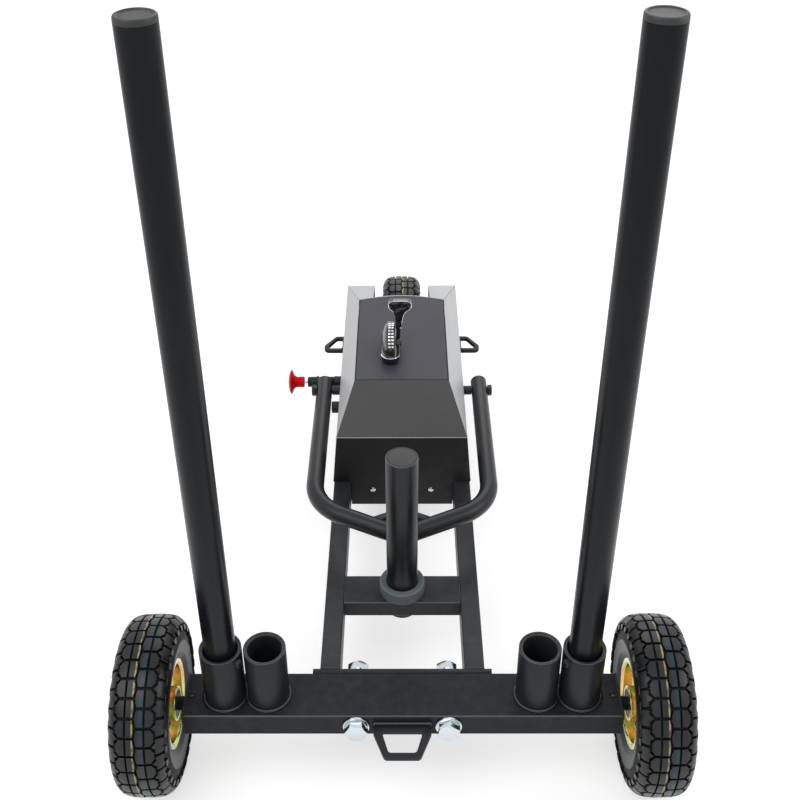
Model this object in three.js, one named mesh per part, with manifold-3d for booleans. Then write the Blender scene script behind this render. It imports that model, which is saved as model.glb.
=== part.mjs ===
import * as THREE from 'three';
import { mergeVertices } from 'three/addons/utils/BufferGeometryUtils.js';
import Module from 'manifold-3d';

const wasm = await Module();
wasm.setup();

// Running and seating gaps
const fitGap = 0.3;
const turningGap = 0.4;
const cutOverrun = 2;

// Wheels, front and rear alike
const tyreDiameter = 256;
const tyreWidth = 82;
const tyreWall = 8;
const treadDepth = 4;
const treadPitches = 17;
const rimFlangeDiameter = 130;
const beadSeatDiameter = 116;
const rimWellDiameter = 102;
const rimFlangeSpan = 66;
const rimSheet = 2.5;
const hubDiameter = 50;
const hubInnerReach = 35;
const hubOuterReach = 27;
const bearingDiameter = 42;
const bearingWidth = 13;
const axleDiameter = 15;
const axleNutAcross = 24;
const axleNutHeight = 8;
const axleCollarDiameter = 20;
const wheelBase = 992;
const wheelStand = 47;

// Rear beam across the wheels
const beamLength = 633;
const beamDepth = 78;
const beamHeight = 40;
const beamWall = 3;
const axlePlateThickness = 3;
const axleSleeveLength = 66;
const axleLockInset = 10.5;
const axleLockDiameter = 10;
const axleLockHeight = 3;

// Side rails and cross members
const frameWidth = 245;
const railWidth = 30;
const railHeight = 50;
const railWall = 2.5;
const railNose = 45;
const crossMemberDepth = 60;
const crossMemberHeight = 30;
const coverTubeDepth = 30;
const jointPlateOverhang = 10.5;
const jointPlateHeight = 52;
const jointPlateThickness = 8;

// Bolted joint between beam and rails
const jointBoltInset = 26.1;
const jointBoltDiameter = 20;
const jointBoltAcross = 30;
const jointBoltHead = 12.5;
const jointNutHeight = 16;
const jointWasherDiameter = 38;
const jointWasherThickness = 3;

// Weight plate post
const postDiameter = 49;
const postWall = 3;
const postHeight = 272.5;
const postStub = 10.5;
const postCapRise = 2.5;
const postApexGap = 3.7;
const collarDiameter = 72;
const collarHeight = 20.5;

// Push pole sockets and poles
const socketDiameter = 60.3;
const socketWall = 3;
const socketHeight = 98.7;
const outerSocketInset = 60;
const socketPitch = 62.5;
const weldSize = 3;
const linerBore = 48;
const linerDrop = 1;
const poleDiameter = 45;
const poleWall = 2.5;
const poleTopHeight = 1141;
const poleCapThickness = 7;
const poleCapPlug = 22;
const poleCapRim = 4;
const poleCapDish = 1.5;
const setScrewDiameter = 11;
const setScrewStand = 7;
const setScrewDrop = 11;
const setScrewTurn = 35;

// Tow eyes
const eyeThickness = 8;
const eyeBar = 9;
const rearEyeReach = 52;
const rearEyeBoltGap = 4.9;
const rearEyeTaper = 23;
const rearEyeRootBar = 14;
const rearEyeTipBar = 13.5;
const sideEyeReach = 43;
const sideEyeRootBar = 5;
const sideEyeLength = 55;
const sideEyeTipLength = 20;
const sideEyeStraight = 20;
const sideEyePlace = 914;
const sideEyeDrop = 14;
const handleEyeRootWidth = 92;
const handleEyeTipWidth = 36;
const handleEyeReach = 18;

// Housing over the drive
const housingRear = 472;
const housingFront = 998;
const housingFootOverhang = 1.5;
const housingEaveDraw = 8.8;
const housingTopDraw = 40;
const housingEaveRise = 101;
const housingTopRise = 169;
const housingTopRear = 551;
const housingTopFront = 827;
const housingTopBow = 15;
const housingSheet = 2;
const housingSeam = 0.3;
const housingNotchWidth = 114;
const housingNotchRear = 851;
const housingFrontSkirt = 50;
const rearSkirtHeight = 53;
const coverScrewReach = 52.4;
const coverScrewDrop = 17;
const coverScrewHead = 9;
const coverScrewHeadHeight = 3;
const coverScrewShank = 5;

// Inner pivot plates and the pull handle
const pivotPlateInset = 18.5;
const pivotPlateThickness = 6;
const pivotPlateRear = 578;
const pivotPlateFront = 776;
const pivotPlateRise = 97;
const handlePivotPlace = 642;
const handlePivotRise = 80.6;
const handleTube = 30;
const handleTubeWall = 2.5;
const handleStand = 24;
const handleEndReach = 28;
const handleApexReach = 390.3;
const handleSweepDegrees = 26.8;
const handleBendRadius = 85;
const handleApexRadius = 60;
const pivotBoltDiameter = 12;
const pivotBoltAcross = 18;
const pivotBoltHead = 8;
const pivotSpacerDiameter = 17;
const pivotNutHeight = 5;

// Pop pin that locks the handle
const pinReach = 38.9;
const pinTiltDegrees = -10.4;
const handleFlipDegrees = 152;
const pinDiameter = 8;
const pinCollarDiameter = 12;
const pinCollarLength = 5;
const pinBarrelDiameter = 20;
const pinBarrelWall = 3.5;
const pinBarrelStand = 34;
const pinKnobDiameter = 47;
const pinKnobNeck = 17;
const pinKnobLength = 31;
const pinKnobStand = 37.5;
const pinEngage = 6;
const pinSpringWire = 1;
const pinSpringCurls = 5;
const indexBossDiameter = 22;
const indexBossGap = 0.6;
const indexBossBore = 9;

// Magnet brake
const rotorPlace = 730;
const rotorRise = 57;
const rotorDiameter = 190;
const rotorThickness = 8;
const rotorHubDiameter = 42;
const rotorHubSpan = 28;
const rotorBearingDiameter = 32;
const rotorBearingWidth = 9;
const rotorShaftDiameter = 12;
const rotorSleeveDiameter = 18;
const rotorNutAcross = 19;
const rotorNutHeight = 5;
const driveLine = 62;
const beltWidth = 14;
const beltThickness = 4;
const drivePulleyDiameter = 96;
const drivenPulleyDiameter = 44;
const pulleyFlange = 3;
const pulleyFlangeThickness = 2;
const yokePivotPlace = 600;
const yokePivotRise = 17;
const yokeTubeDiameter = 20;
const yokeTubeSpan = 60;
const yokeRodDiameter = 10;
const yokeCheek = 4;
const yokeSlot = 26;
const yokeNeck = 26;
const yokeReach = 122;
const yokeLeanDegrees = 26;
const yokePadWidth = 46;
const yokeArmReach = 35;
const yokeArmThickness = 10;
const yokeArmHeight = 10;
const yokeArmHole = 5;
const yokeArmPlace = -24;
const magnetDiameter = 22;
const magnetThickness = 5;
const yokeSpringWire = 2;
const yokeSpringCurls = 4;

// Resistance lever on the top panel
const leverPlace = 653;
const leverSide = -20;
const quadrantRadius = 40;
const quadrantWidth = 25;
const quadrantBaseWidth = 34;
const quadrantBaseThickness = 8;
const quadrantTeeth = 9;
const quadrantToothDegrees = 8.5;
const quadrantToothDepth = 3;
const quadrantSteps = 6;
const leverArmThickness = 8;
const leverHubDiameter = 24;
const leverArmWidth = 10;
const leverReach = 87.5;
const leverGripWidth = 44;
const leverGripHeight = 25;
const leverGripThickness = 14;
const leverScrewDiameter = 8;
const leverScrewHead = 14;
const leverScrewHeadHeight = 3;
const cableDiameter = 5;
const cableBore = 2.8;
const wireDiameter = 1.6;
const nippleDiameter = 8;
const cableStopRise = 57;
const cableStopWidth = 14;
const cableStopThickness = 5;

// Counts of facets, not lengths
const roundSides = 20;
const smallSides = 12;
const rimSides = 18;
const wheelSides = treadPitches * 2;
const bendSteps = 4;
const magnetSides = 8;
const cableSides = 8;
const curlSteps = 8;
const wireSides = 5;

// Heights that follow from the wheels and beam
const axleHeight = tyreDiameter / 2;
const deckHeight = axleHeight + beamHeight / 2;
const beamFloor = axleHeight - beamHeight / 2;
const plateRear = beamDepth / 2 + fitGap;
const plateFront = plateRear + jointPlateThickness;
const handlePivotHeight = deckHeight + handlePivotRise;
const rotorHeight = deckHeight + rotorRise;
const yokePivotHeight = deckHeight + yokePivotRise;
const housingEaveHeight = deckHeight + housingEaveRise;
const housingTopHeight = deckHeight + housingTopRise;

// Widths that follow from the beam and the frame
const rearTrack = beamLength + wheelStand * 2;
const axleLockReach = beamLength / 2 - axleLockInset;
const outerSocketReach = beamLength / 2 - outerSocketInset;
const innerSocketReach = outerSocketReach - socketPitch;
const railInner = frameWidth / 2 - railWidth;
const jointPlateWidth = frameWidth + jointPlateOverhang * 2;
const jointBoltReach = railInner - jointBoltInset;
const rearEyeRootWidth = (jointBoltReach - jointWasherDiameter / 2 - rearEyeBoltGap) * 2;
const rearEyeTipWidth = rearEyeRootWidth - rearEyeTaper;
const housingFootWidth = frameWidth + housingFootOverhang * 2;
const housingEaveWidth = housingFootWidth - housingEaveDraw * 2;
const housingTopWidth = housingFootWidth - housingTopDraw * 2;
const pivotPlateSpread = frameWidth - pivotPlateInset * 2;
const handleSpread = frameWidth + handleStand * 2;
const pinBarrelOuter = handleSpread / 2 + pinBarrelStand;
const pinKnobOuter = pinBarrelOuter + pinKnobStand;

// The post stands close behind the folded handle's point
const handlePointPlace = handlePivotPlace - handleApexReach - handleTube / 2;
const crossMemberPlace = handlePointPlace - postApexGap - postDiameter / 2;

// Finishes
const blackCoat = () => finish(0x1d1f23, 0.55, 0.35);
const grainCoat = () => finish(0x34363a, 0.6, 0.3);
const silverCoat = () => finish(0xc3c5c9, 0.45, 0.5);
const zincPlate = () => finish(0xc9ced2, 0.25, 0.95);
const goldZinc = () => finish(0xc8a24a, 0.35, 0.9);
const brightSteel = () => finish(0xb9bcc0, 0.3, 0.95);
const rotorMetal = () => finish(0xa8acb0, 0.35, 0.9);
const blackRubber = () => finish(0x17181a, 0.85, 0);
const collarRubber = () => finish(0x3c474a, 0.8, 0);
const blackPlastic = () => finish(0x111214, 0.4, 0);
const glossPlastic = () => finish(0x0b0c0e, 0.15, 0);
const redPlastic = () => finish(0xc4101c, 0.3, 0);

function finish(colour, roughness, metalness) {
  return new THREE.MeshStandardMaterial({ color: colour, roughness, metalness });
}

// Turn a geometry into a welded closed body that faces outward
function closed(geometry) {
  geometry.deleteAttribute('normal');
  geometry.deleteAttribute('uv');
  const welded = mergeVertices(geometry);
  const position = welded.getAttribute('position');
  const source = welded.index.array;
  const kept = [];
  let volume = 0;
  const a = new THREE.Vector3();
  const b = new THREE.Vector3();
  const c = new THREE.Vector3();
  for (let i = 0; i < source.length; i += 3) {
    const [p, q, r] = [source[i], source[i + 1], source[i + 2]];
    if (p === q || q === r || p === r) {
      continue;
    }
    kept.push(p, q, r);
    a.fromBufferAttribute(position, p);
    b.fromBufferAttribute(position, q);
    c.fromBufferAttribute(position, r);
    volume += a.dot(b.cross(c));
  }
  if (volume < 0) {
    kept.reverse();
  }
  welded.setIndex(kept);
  return welded;
}

function toSolid(geometry) {
  const body = closed(geometry);
  return new wasm.Manifold(new wasm.Mesh({
    numProp: 3,
    vertProperties: new Float32Array(body.getAttribute('position').array),
    triVerts: new Uint32Array(body.index.array),
  }));
}

function toGeometry(solid) {
  const mesh = solid.getMesh();
  const geometry = new THREE.BufferGeometry();
  geometry.setAttribute('position', new THREE.BufferAttribute(new Float32Array(mesh.vertProperties), 3));
  geometry.setIndex(Array.from(mesh.triVerts));
  return geometry;
}

function joined(geometries) {
  return toGeometry(geometries.map(toSolid).reduce((sum, next) => sum.add(next)));
}

function cut(geometry, tools) {
  return toGeometry(tools.map(toSolid).reduce((rest, tool) => rest.subtract(tool), toSolid(geometry)));
}

function moved(geometry, x, y, z) {
  return geometry.clone().translate(x, y, z);
}

// Copy a right-hand piece to the left
function mirrored(geometry) {
  return closed(geometry.clone().scale(-1, 1, 1));
}

function leftAndRight(geometry) {
  return joined([geometry, mirrored(geometry)]);
}

// A box from its low to its high corner
function block(low, high) {
  const size = high.map((value, i) => value - low[i]);
  const middle = high.map((value, i) => (value + low[i]) / 2);
  return new THREE.BoxGeometry(...size).translate(...middle);
}

// Turned bodies: each profile row is a place along the axis and a radius
function turned(rows, axis, sides = roundSides) {
  const points = rows.map(([along, radius]) => new THREE.Vector2(radius, along));
  points.push(points[0].clone());
  const geometry = closed(new THREE.LatheGeometry(points, sides));
  if (axis === 'x') {
    geometry.rotateZ(-Math.PI / 2);
  }
  if (axis === 'z') {
    geometry.rotateX(Math.PI / 2);
  }
  return closed(geometry);
}

function rod(from, to, diameter, axis, sides = smallSides) {
  return turned([[from, 0], [from, diameter / 2], [to, diameter / 2], [to, 0]], axis, sides);
}

function ring(from, to, outer, inner, axis, sides = roundSides) {
  return turned([[from, inner / 2], [from, outer / 2], [to, outer / 2], [to, inner / 2]], axis, sides);
}

// A six-sided head or nut, sized across its flats
function hexagon(from, to, across, axis) {
  return rod(from, to, across / Math.cos(Math.PI / 6), axis, 6);
}

// Flat outlines pushed to a thickness along one axis
function outline(points, holes = []) {
  const shape = new THREE.Shape(points.map(([u, v]) => new THREE.Vector2(u, v)));
  for (const hole of holes) {
    shape.holes.push(new THREE.Path(hole.map(([u, v]) => new THREE.Vector2(u, v))));
  }
  return shape;
}

function pushedAlongZ(shape, low, high) {
  return new THREE.ExtrudeGeometry(shape, { depth: high - low, bevelEnabled: false }).translate(0, 0, low);
}

function pushedAlongX(shape, low, high) {
  const geometry = pushedAlongZ(shape, low, high);
  const basis = new THREE.Matrix4().makeBasis(
    new THREE.Vector3(0, 1, 0),
    new THREE.Vector3(0, 0, 1),
    new THREE.Vector3(1, 0, 0),
  );
  return geometry.applyMatrix4(basis);
}

function pushedAlongY(shape, low, high) {
  const geometry = pushedAlongZ(shape, -high, -low);
  return geometry.rotateX(Math.PI / 2);
}

function boxTube(low, high, wall, axis) {
  const innerLow = low.map((value, i) => (i === axis ? value - cutOverrun : value + wall));
  const innerHigh = high.map((value, i) => (i === axis ? value + cutOverrun : value - wall));
  return cut(block(low, high), [block(innerLow, innerHigh)]);
}

function circlePoints(diameter, sides, centreU = 0, centreV = 0) {
  const points = [];
  for (let i = 0; i < sides; i += 1) {
    const angle = (i / sides) * Math.PI * 2;
    points.push([centreU + (Math.cos(angle) * diameter) / 2, centreV + (Math.sin(angle) * diameter) / 2]);
  }
  return points;
}

// A path through stations, so straight runs need no extra rings
class StationPath extends THREE.Curve {
  constructor(stations) {
    super();
    this.stations = stations;
  }

  stationAt(share) {
    const last = this.stations.length - 1;
    return this.stations[Math.min(last, Math.max(0, Math.round(share * last)))];
  }

  getPoint(share, target = new THREE.Vector3()) {
    return target.copy(this.stationAt(share).point);
  }

  getPointAt(share, target) {
    return this.getPoint(share, target);
  }

  getTangentAt(share, target = new THREE.Vector3()) {
    return target.copy(this.stationAt(share).tangent);
  }

  getSpacedPoints() {
    return this.stations.map((station) => station.point.clone());
  }
}

// Stations along corners that are rounded by bend radii
function roundedStations(corners, radii) {
  const stations = [];
  const start = corners[1].clone().sub(corners[0]).normalize();
  stations.push({ point: corners[0].clone(), tangent: start });
  for (let i = 1; i < corners.length - 1; i += 1) {
    const incoming = corners[i].clone().sub(corners[i - 1]).normalize();
    const outgoing = corners[i + 1].clone().sub(corners[i]).normalize();
    const turn = incoming.angleTo(outgoing);
    const back = radii[i - 1] * Math.tan(turn / 2);
    const axis = incoming.clone().cross(outgoing).normalize();
    const first = corners[i].clone().addScaledVector(incoming, -back);
    const centre = first.clone().addScaledVector(axis.clone().cross(incoming), radii[i - 1]);
    for (let step = 0; step <= bendSteps; step += 1) {
      const angle = (turn * step) / bendSteps;
      const spoke = first.clone().sub(centre).applyAxisAngle(axis, angle);
      stations.push({
        point: centre.clone().add(spoke),
        tangent: incoming.clone().applyAxisAngle(axis, angle),
      });
    }
  }
  const last = corners.length - 1;
  const end = corners[last].clone().sub(corners[last - 1]).normalize();
  stations.push({ point: corners[last].clone(), tangent: end });
  return stations;
}

function pipe(stations, diameter, bore, sides) {
  const holes = bore > 0 ? [circlePoints(bore, sides)] : [];
  const section = outline(circlePoints(diameter, sides), holes);
  return closed(new THREE.ExtrudeGeometry(section, {
    steps: stations.length - 1,
    bevelEnabled: false,
    extrudePath: new StationPath(stations),
  }));
}

// A wire coil around X between two places
function coil(low, high, diameter, wire, curls) {
  const stations = [];
  const steps = curls * curlSteps;
  for (let i = 0; i <= steps; i += 1) {
    const angle = (i / curlSteps) * Math.PI * 2;
    const x = low + ((high - low) * i) / steps;
    const climb = (high - low) / (curls * Math.PI * 2);
    stations.push({
      point: new THREE.Vector3(x, (Math.cos(angle) * diameter) / 2, (Math.sin(angle) * diameter) / 2),
      tangent: new THREE.Vector3(climb, (-Math.sin(angle) * diameter) / 2, (Math.cos(angle) * diameter) / 2)
        .normalize(),
    });
  }
  let nearest = Infinity;
  for (let i = 0; i <= steps; i += 1) {
    for (let j = i + curlSteps / 2; j <= steps; j += 1) {
      nearest = Math.min(nearest, stations[i].point.distanceTo(stations[j].point));
    }
  }
  console.log(`coil of ${curls} curls: least gap to itself ${(nearest - wire).toFixed(2)} mm`);
  return pipe(stations, wire, 0, wireSides);
}

// Flat sheet panels bounded by planes, with mitred edges
function plane(normal, through, sheet) {
  const unit = normal.clone().normalize();
  return { normal: unit, offset: unit.dot(through), sheet };
}

function shifted(face, inward) {
  return { ...face, offset: face.offset - inward };
}

function corner(first, second, third) {
  const rows = new THREE.Matrix3().set(
    ...first.normal.toArray(),
    ...second.normal.toArray(),
    ...third.normal.toArray(),
  );
  return new THREE.Vector3(first.offset, second.offset, third.offset).applyMatrix3(rows.invert());
}

function panel(face, edges) {
  const trimmed = edges.map(([edge, gap]) => shifted(edge, gap));
  const outer = [];
  const inner = [];
  for (let i = 0; i < trimmed.length; i += 1) {
    const next = trimmed[(i + 1) % trimmed.length];
    outer.push(corner(face, trimmed[i], next));
    inner.push(corner(
      shifted(face, face.sheet),
      shifted(trimmed[i], trimmed[i].sheet),
      shifted(next, next.sheet),
    ));
  }
  const count = outer.length;
  const geometry = new THREE.BufferGeometry();
  geometry.setAttribute('position', new THREE.Float32BufferAttribute(
    [...outer, ...inner].flatMap((point) => point.toArray()),
    3,
  ));
  const index = [];
  for (let i = 1; i < count - 1; i += 1) {
    index.push(0, i, i + 1);
    index.push(count, count + i + 1, count + i);
  }
  for (let i = 0; i < count; i += 1) {
    const next = (i + 1) % count;
    index.push(i, count + i, next);
    index.push(next, count + i, count + next);
  }
  geometry.setIndex(index);
  return closed(geometry);
}

const sled = new THREE.Group();
sled.position.y = -wheelBase / 2;

function add(name, geometry, material, parent = sled) {
  const mesh = new THREE.Mesh(geometry, material);
  mesh.name = name;
  parent.add(mesh);
  return mesh;
}

// A right-hand piece and its mirror image on the left
function addPair(name, geometry, material, parent = sled) {
  add(`${name}_left`, mirrored(geometry), material, parent);
  add(`${name}_right`, geometry, material, parent);
}

function groupAt(x, y, z) {
  const group = new THREE.Group();
  group.position.set(x, y, z);
  sled.add(group);
  return group;
}

// Rear beam with holes for the joint bolts, and button screws that lock the axle sleeves
const jointHole = jointBoltDiameter + fitGap * 2;
const beamHalf = beamLength / 2 - axlePlateThickness - fitGap;
const jointHoles = [-1, 1].map((side) => moved(
  rod(-beamDepth, beamDepth, jointHole, 'y'),
  side * jointBoltReach,
  0,
  axleHeight,
));
const beamTube = boxTube(
  [-beamHalf, -beamDepth / 2, beamFloor],
  [beamHalf, beamDepth / 2, deckHeight],
  beamWall,
  0,
);
const lockScrew = turned([
  [deckHeight - beamWall, 0],
  [deckHeight - beamWall, axleLockDiameter / 4],
  [deckHeight - beamWall / 2, axleLockDiameter / 2],
  [deckHeight + axleLockHeight / 2, axleLockDiameter / 2],
  [deckHeight + axleLockHeight, axleLockDiameter / 4],
  [deckHeight + axleLockHeight, 0],
], 'z', smallSides);
add('rear_beam', joined([
  cut(beamTube, jointHoles),
  leftAndRight(moved(lockScrew, axleLockReach, 0, 0)),
]), blackCoat());

// Axle stubs: a sleeve in the beam, an end plate, a collar, a spindle and its nut
const beamEnd = beamLength / 2;
const wheelCentre = rearTrack / 2;
const hubInnerFace = wheelCentre - hubInnerReach;
const hubOuterFace = wheelCentre + hubOuterReach;
const sleeveDiameter = beamHeight - beamWall * 2 - fitGap * 2;
const spindleEnd = hubOuterFace + fitGap * 2 + axleNutHeight;
const stubRows = [
  [beamEnd - axlePlateThickness - axleSleeveLength, 0],
  [beamEnd - axlePlateThickness - axleSleeveLength, sleeveDiameter / 2],
  [beamEnd - axlePlateThickness / 2, sleeveDiameter / 2],
  [beamEnd - axlePlateThickness / 2, axleCollarDiameter / 2],
  [hubInnerFace - fitGap, axleCollarDiameter / 2],
  [hubInnerFace - fitGap, axleDiameter / 2],
  [spindleEnd, axleDiameter / 2],
  [spindleEnd, 0],
];
const rightStub = joined([
  moved(turned(stubRows, 'x', smallSides), 0, 0, axleHeight),
  moved(hexagon(hubOuterFace + fitGap, spindleEnd - fitGap, axleNutAcross, 'x'), 0, 0, axleHeight),
  block(
    [beamEnd - axlePlateThickness, -beamDepth / 2, beamFloor],
    [beamEnd, beamDepth / 2, deckHeight],
  ),
]);
addPair('rear_axle', rightStub, blackCoat());

// Side rails from the joint plate to the front axle
const railFloor = deckHeight - railHeight;
const railFront = wheelBase + railNose;
const axleHole = axleDiameter + fitGap * 2;
const rightRail = cut(
  boxTube([railInner, plateFront + fitGap, railFloor], [frameWidth / 2, railFront, deckHeight], railWall, 1),
  [moved(rod(0, railInner + railWidth / 2, axleHole, 'x'), 0, wheelBase, axleHeight)],
);
addPair('side_rail', rightRail, blackCoat());

const jointPlate = cut(
  block(
    [-jointPlateWidth / 2, plateRear, deckHeight - jointPlateHeight],
    [jointPlateWidth / 2, plateFront, deckHeight],
  ),
  jointHoles,
);
add('joint_plate', jointPlate, blackCoat());

// Hexagon bolts through the beam and plate, each with its washers and nut
const headFace = -beamDepth / 2 - jointWasherThickness - fitGap;
const nutFace = plateFront + jointWasherThickness + fitGap;
const boltEnd = nutFace + jointNutHeight + fitGap;
const jointBolt = moved(joined([
  hexagon(headFace - jointBoltHead, headFace, jointBoltAcross, 'y'),
  rod(headFace - fitGap, headFace + jointWasherThickness, jointWasherDiameter, 'y', roundSides),
  rod(headFace - fitGap, boltEnd, jointBoltDiameter, 'y'),
  rod(nutFace - jointWasherThickness, nutFace + fitGap, jointWasherDiameter, 'y', roundSides),
  hexagon(nutFace, nutFace + jointNutHeight, jointBoltAcross, 'y'),
]), jointBoltReach, 0, axleHeight);
addPair('joint_bolt', jointBolt, zincPlate());

// Cross member with the weight plate post through it
const postHoleRod = rod(0, deckHeight * 2, postDiameter + fitGap * 2, 'z', roundSides);
const postHole = moved(postHoleRod, 0, crossMemberPlace, 0);
const crossMember = cut(boxTube(
  [-railInner + fitGap, crossMemberPlace - crossMemberDepth / 2, deckHeight - crossMemberHeight],
  [railInner - fitGap, crossMemberPlace + crossMemberDepth / 2, deckHeight],
  railWall,
  0,
), [postHole]);
add('cross_member', crossMember, blackCoat());
const postFloor = deckHeight - crossMemberHeight - postStub;
const postTop = deckHeight + postHeight;
const post = turned([
  [postFloor, postDiameter / 2 - postWall],
  [postFloor, postDiameter / 2],
  [postTop - postCapRise, postDiameter / 2],
  [postTop, postDiameter / 2 - postCapRise],
  [postTop, 0],
  [postTop - postWall, 0],
  [postTop - postWall, postDiameter / 2 - postWall],
], 'z');
add('plate_post', moved(post, 0, crossMemberPlace, 0), blackCoat());
const collarBore = postDiameter + fitGap * 2;
const collar = ring(deckHeight + fitGap, deckHeight + collarHeight, collarDiameter, collarBore, 'z');
add('post_collar', moved(collar, 0, crossMemberPlace, 0), collarRubber());

// Second cross tube, with the screws that hold the rear cover to it
const coverTubeRear = housingRear + housingSheet + fitGap;
const screwHeight = deckHeight - coverScrewDrop;
const coverScrewHoles = [-1, 1].map((side) => moved(
  rod(housingRear - cutOverrun, coverTubeRear + railWall + cutOverrun, coverScrewShank + fitGap * 2, 'y'),
  side * coverScrewReach,
  0,
  screwHeight,
));
const coverTube = boxTube(
  [-railInner + fitGap, coverTubeRear, railFloor],
  [railInner - fitGap, coverTubeRear + coverTubeDepth, deckHeight],
  railWall,
  0,
);
const coverScrew = turned([
  [housingRear - fitGap - coverScrewHeadHeight, 0],
  [housingRear - fitGap - coverScrewHeadHeight, coverScrewHead / 4],
  [housingRear - fitGap, coverScrewHead / 2],
  [housingRear - fitGap, coverScrewShank / 2],
  [coverTubeRear + railWall + coverScrewShank, coverScrewShank / 2],
  [coverTubeRear + railWall + coverScrewShank, 0],
], 'y', smallSides);
add('cover_cross_tube', joined([
  coverTube,
  leftAndRight(moved(coverScrew, coverScrewReach, 0, screwHeight)),
]), blackCoat());

// Pole sockets stand on the beam in pairs, each lined, with a weld at its foot
const socketTop = deckHeight + socketHeight;
function socket(reach, shareLow, shareHigh) {
  const body = turned([
    [deckHeight + fitGap, linerBore / 2],
    [deckHeight + fitGap, socketDiameter / 2 + weldSize],
    [deckHeight + weldSize * 2, socketDiameter / 2],
    [socketTop - socketWall / 3, socketDiameter / 2],
    [socketTop, socketDiameter / 2 - socketWall / 3],
    [socketTop, socketDiameter / 2 - socketWall],
    [socketTop - linerDrop, socketDiameter / 2 - socketWall],
    [socketTop - linerDrop, linerBore / 2],
  ], 'z');
  const middle = outerSocketReach - socketPitch / 2;
  const keep = [middle + shareLow * socketPitch + fitGap, middle + shareHigh * socketPitch - fitGap];
  const solid = toSolid(moved(body, reach, 0, 0)).intersect(toSolid(block(
    [keep[0], -socketDiameter, deckHeight],
    [keep[1], socketDiameter, socketTop + cutOverrun],
  )));
  return toGeometry(solid);
}
const setScrew = turned([
  [socketDiameter / 2 - socketWall / 2, 0],
  [socketDiameter / 2 - socketWall / 2, setScrewDiameter / 2],
  [socketDiameter / 2 + setScrewStand * 0.8, setScrewDiameter / 2],
  [socketDiameter / 2 + setScrewStand, setScrewDiameter / 3],
  [socketDiameter / 2 + setScrewStand, 0],
], 'x', smallSides);
const setScrewAngle = THREE.MathUtils.degToRad(setScrewTurn - 180);
const placedScrew = setScrew.rotateZ(setScrewAngle).translate(outerSocketReach, 0, socketTop - setScrewDrop);
const outerSocket = joined([socket(outerSocketReach, 0, 1.5), placedScrew]);
addPair('outer_socket', outerSocket, blackCoat());
addPair('inner_socket', socket(innerSocketReach, -1.5, 0), blackCoat());

// Push poles with plugged tops, standing in the outer sockets
const poleFoot = deckHeight + fitGap;
const poleRimHeight = poleTopHeight - poleCapThickness;
const pole = ring(poleFoot, poleRimHeight - fitGap, poleDiameter, poleDiameter - poleWall * 2, 'z');
const plugDiameter = poleDiameter - poleWall * 2 - fitGap * 2;
const poleCap = turned([
  [poleRimHeight - poleCapPlug, 0],
  [poleRimHeight - poleCapPlug, plugDiameter / 2],
  [poleRimHeight, plugDiameter / 2],
  [poleRimHeight, poleDiameter / 2],
  [poleTopHeight - poleCapDish, poleDiameter / 2],
  [poleTopHeight, poleDiameter / 2 - poleCapDish],
  [poleTopHeight, poleDiameter / 2 - poleCapRim],
  [poleTopHeight - poleCapDish, poleDiameter / 2 - poleCapRim - poleCapDish],
  [poleTopHeight - poleCapDish, 0],
], 'z');
addPair('push_pole', moved(pole, outerSocketReach, 0, 0), blackCoat());
addPair('pole_cap', moved(poleCap, outerSocketReach, 0, 0), blackPlastic());

// Flat tow eyes cut from plate
function eyePlate(outer, inner, height) {
  return pushedAlongZ(outline(outer, [inner]), height - eyeThickness / 2, height + eyeThickness / 2);
}
const rearRoot = -beamDepth / 2 - fitGap;
const rearTip = rearRoot - rearEyeReach;
const rearSlope = (rearEyeRootWidth - rearEyeTipWidth) / 2 / rearEyeReach;
const rearHoleNear = rearRoot - rearEyeRootBar;
const rearHoleFar = rearTip + eyeBar;
const rearNearHalf = rearEyeRootWidth / 2 - rearEyeRootBar * rearSlope - eyeBar;
const rearFarHalf = rearEyeTipWidth / 2 + eyeBar * rearSlope - rearEyeTipBar;
add('rear_tow_eye', eyePlate(
  [
    [-rearEyeRootWidth / 2, rearRoot],
    [-rearEyeTipWidth / 2, rearTip],
    [rearEyeTipWidth / 2, rearTip],
    [rearEyeRootWidth / 2, rearRoot],
  ],
  [
    [-rearNearHalf, rearHoleNear],
    [rearNearHalf, rearHoleNear],
    [rearFarHalf, rearHoleFar],
    [-rearFarHalf, rearHoleFar],
  ],
  axleHeight,
), blackCoat());
const sideRoot = frameWidth / 2 + fitGap;
const sideTip = sideRoot + sideEyeReach;
const sideFront = sideEyePlace + sideEyeLength;
const sideEye = eyePlate(
  [
    [sideRoot, sideEyePlace],
    [sideTip, sideEyePlace],
    [sideTip, sideEyePlace + sideEyeTipLength],
    [sideRoot + sideEyeStraight, sideFront],
    [sideRoot, sideFront],
  ],
  [
    [sideRoot + sideEyeRootBar, sideEyePlace + eyeBar],
    [sideTip - eyeBar, sideEyePlace + eyeBar],
    [sideTip - eyeBar, sideEyePlace + sideEyeTipLength - eyeBar / 3],
    [sideRoot + sideEyeStraight - eyeBar / 3, sideFront - eyeBar],
    [sideRoot + sideEyeRootBar, sideFront - eyeBar],
  ],
  deckHeight - sideEyeDrop,
);
addPair('side_tow_eye', sideEye, blackCoat());

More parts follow.
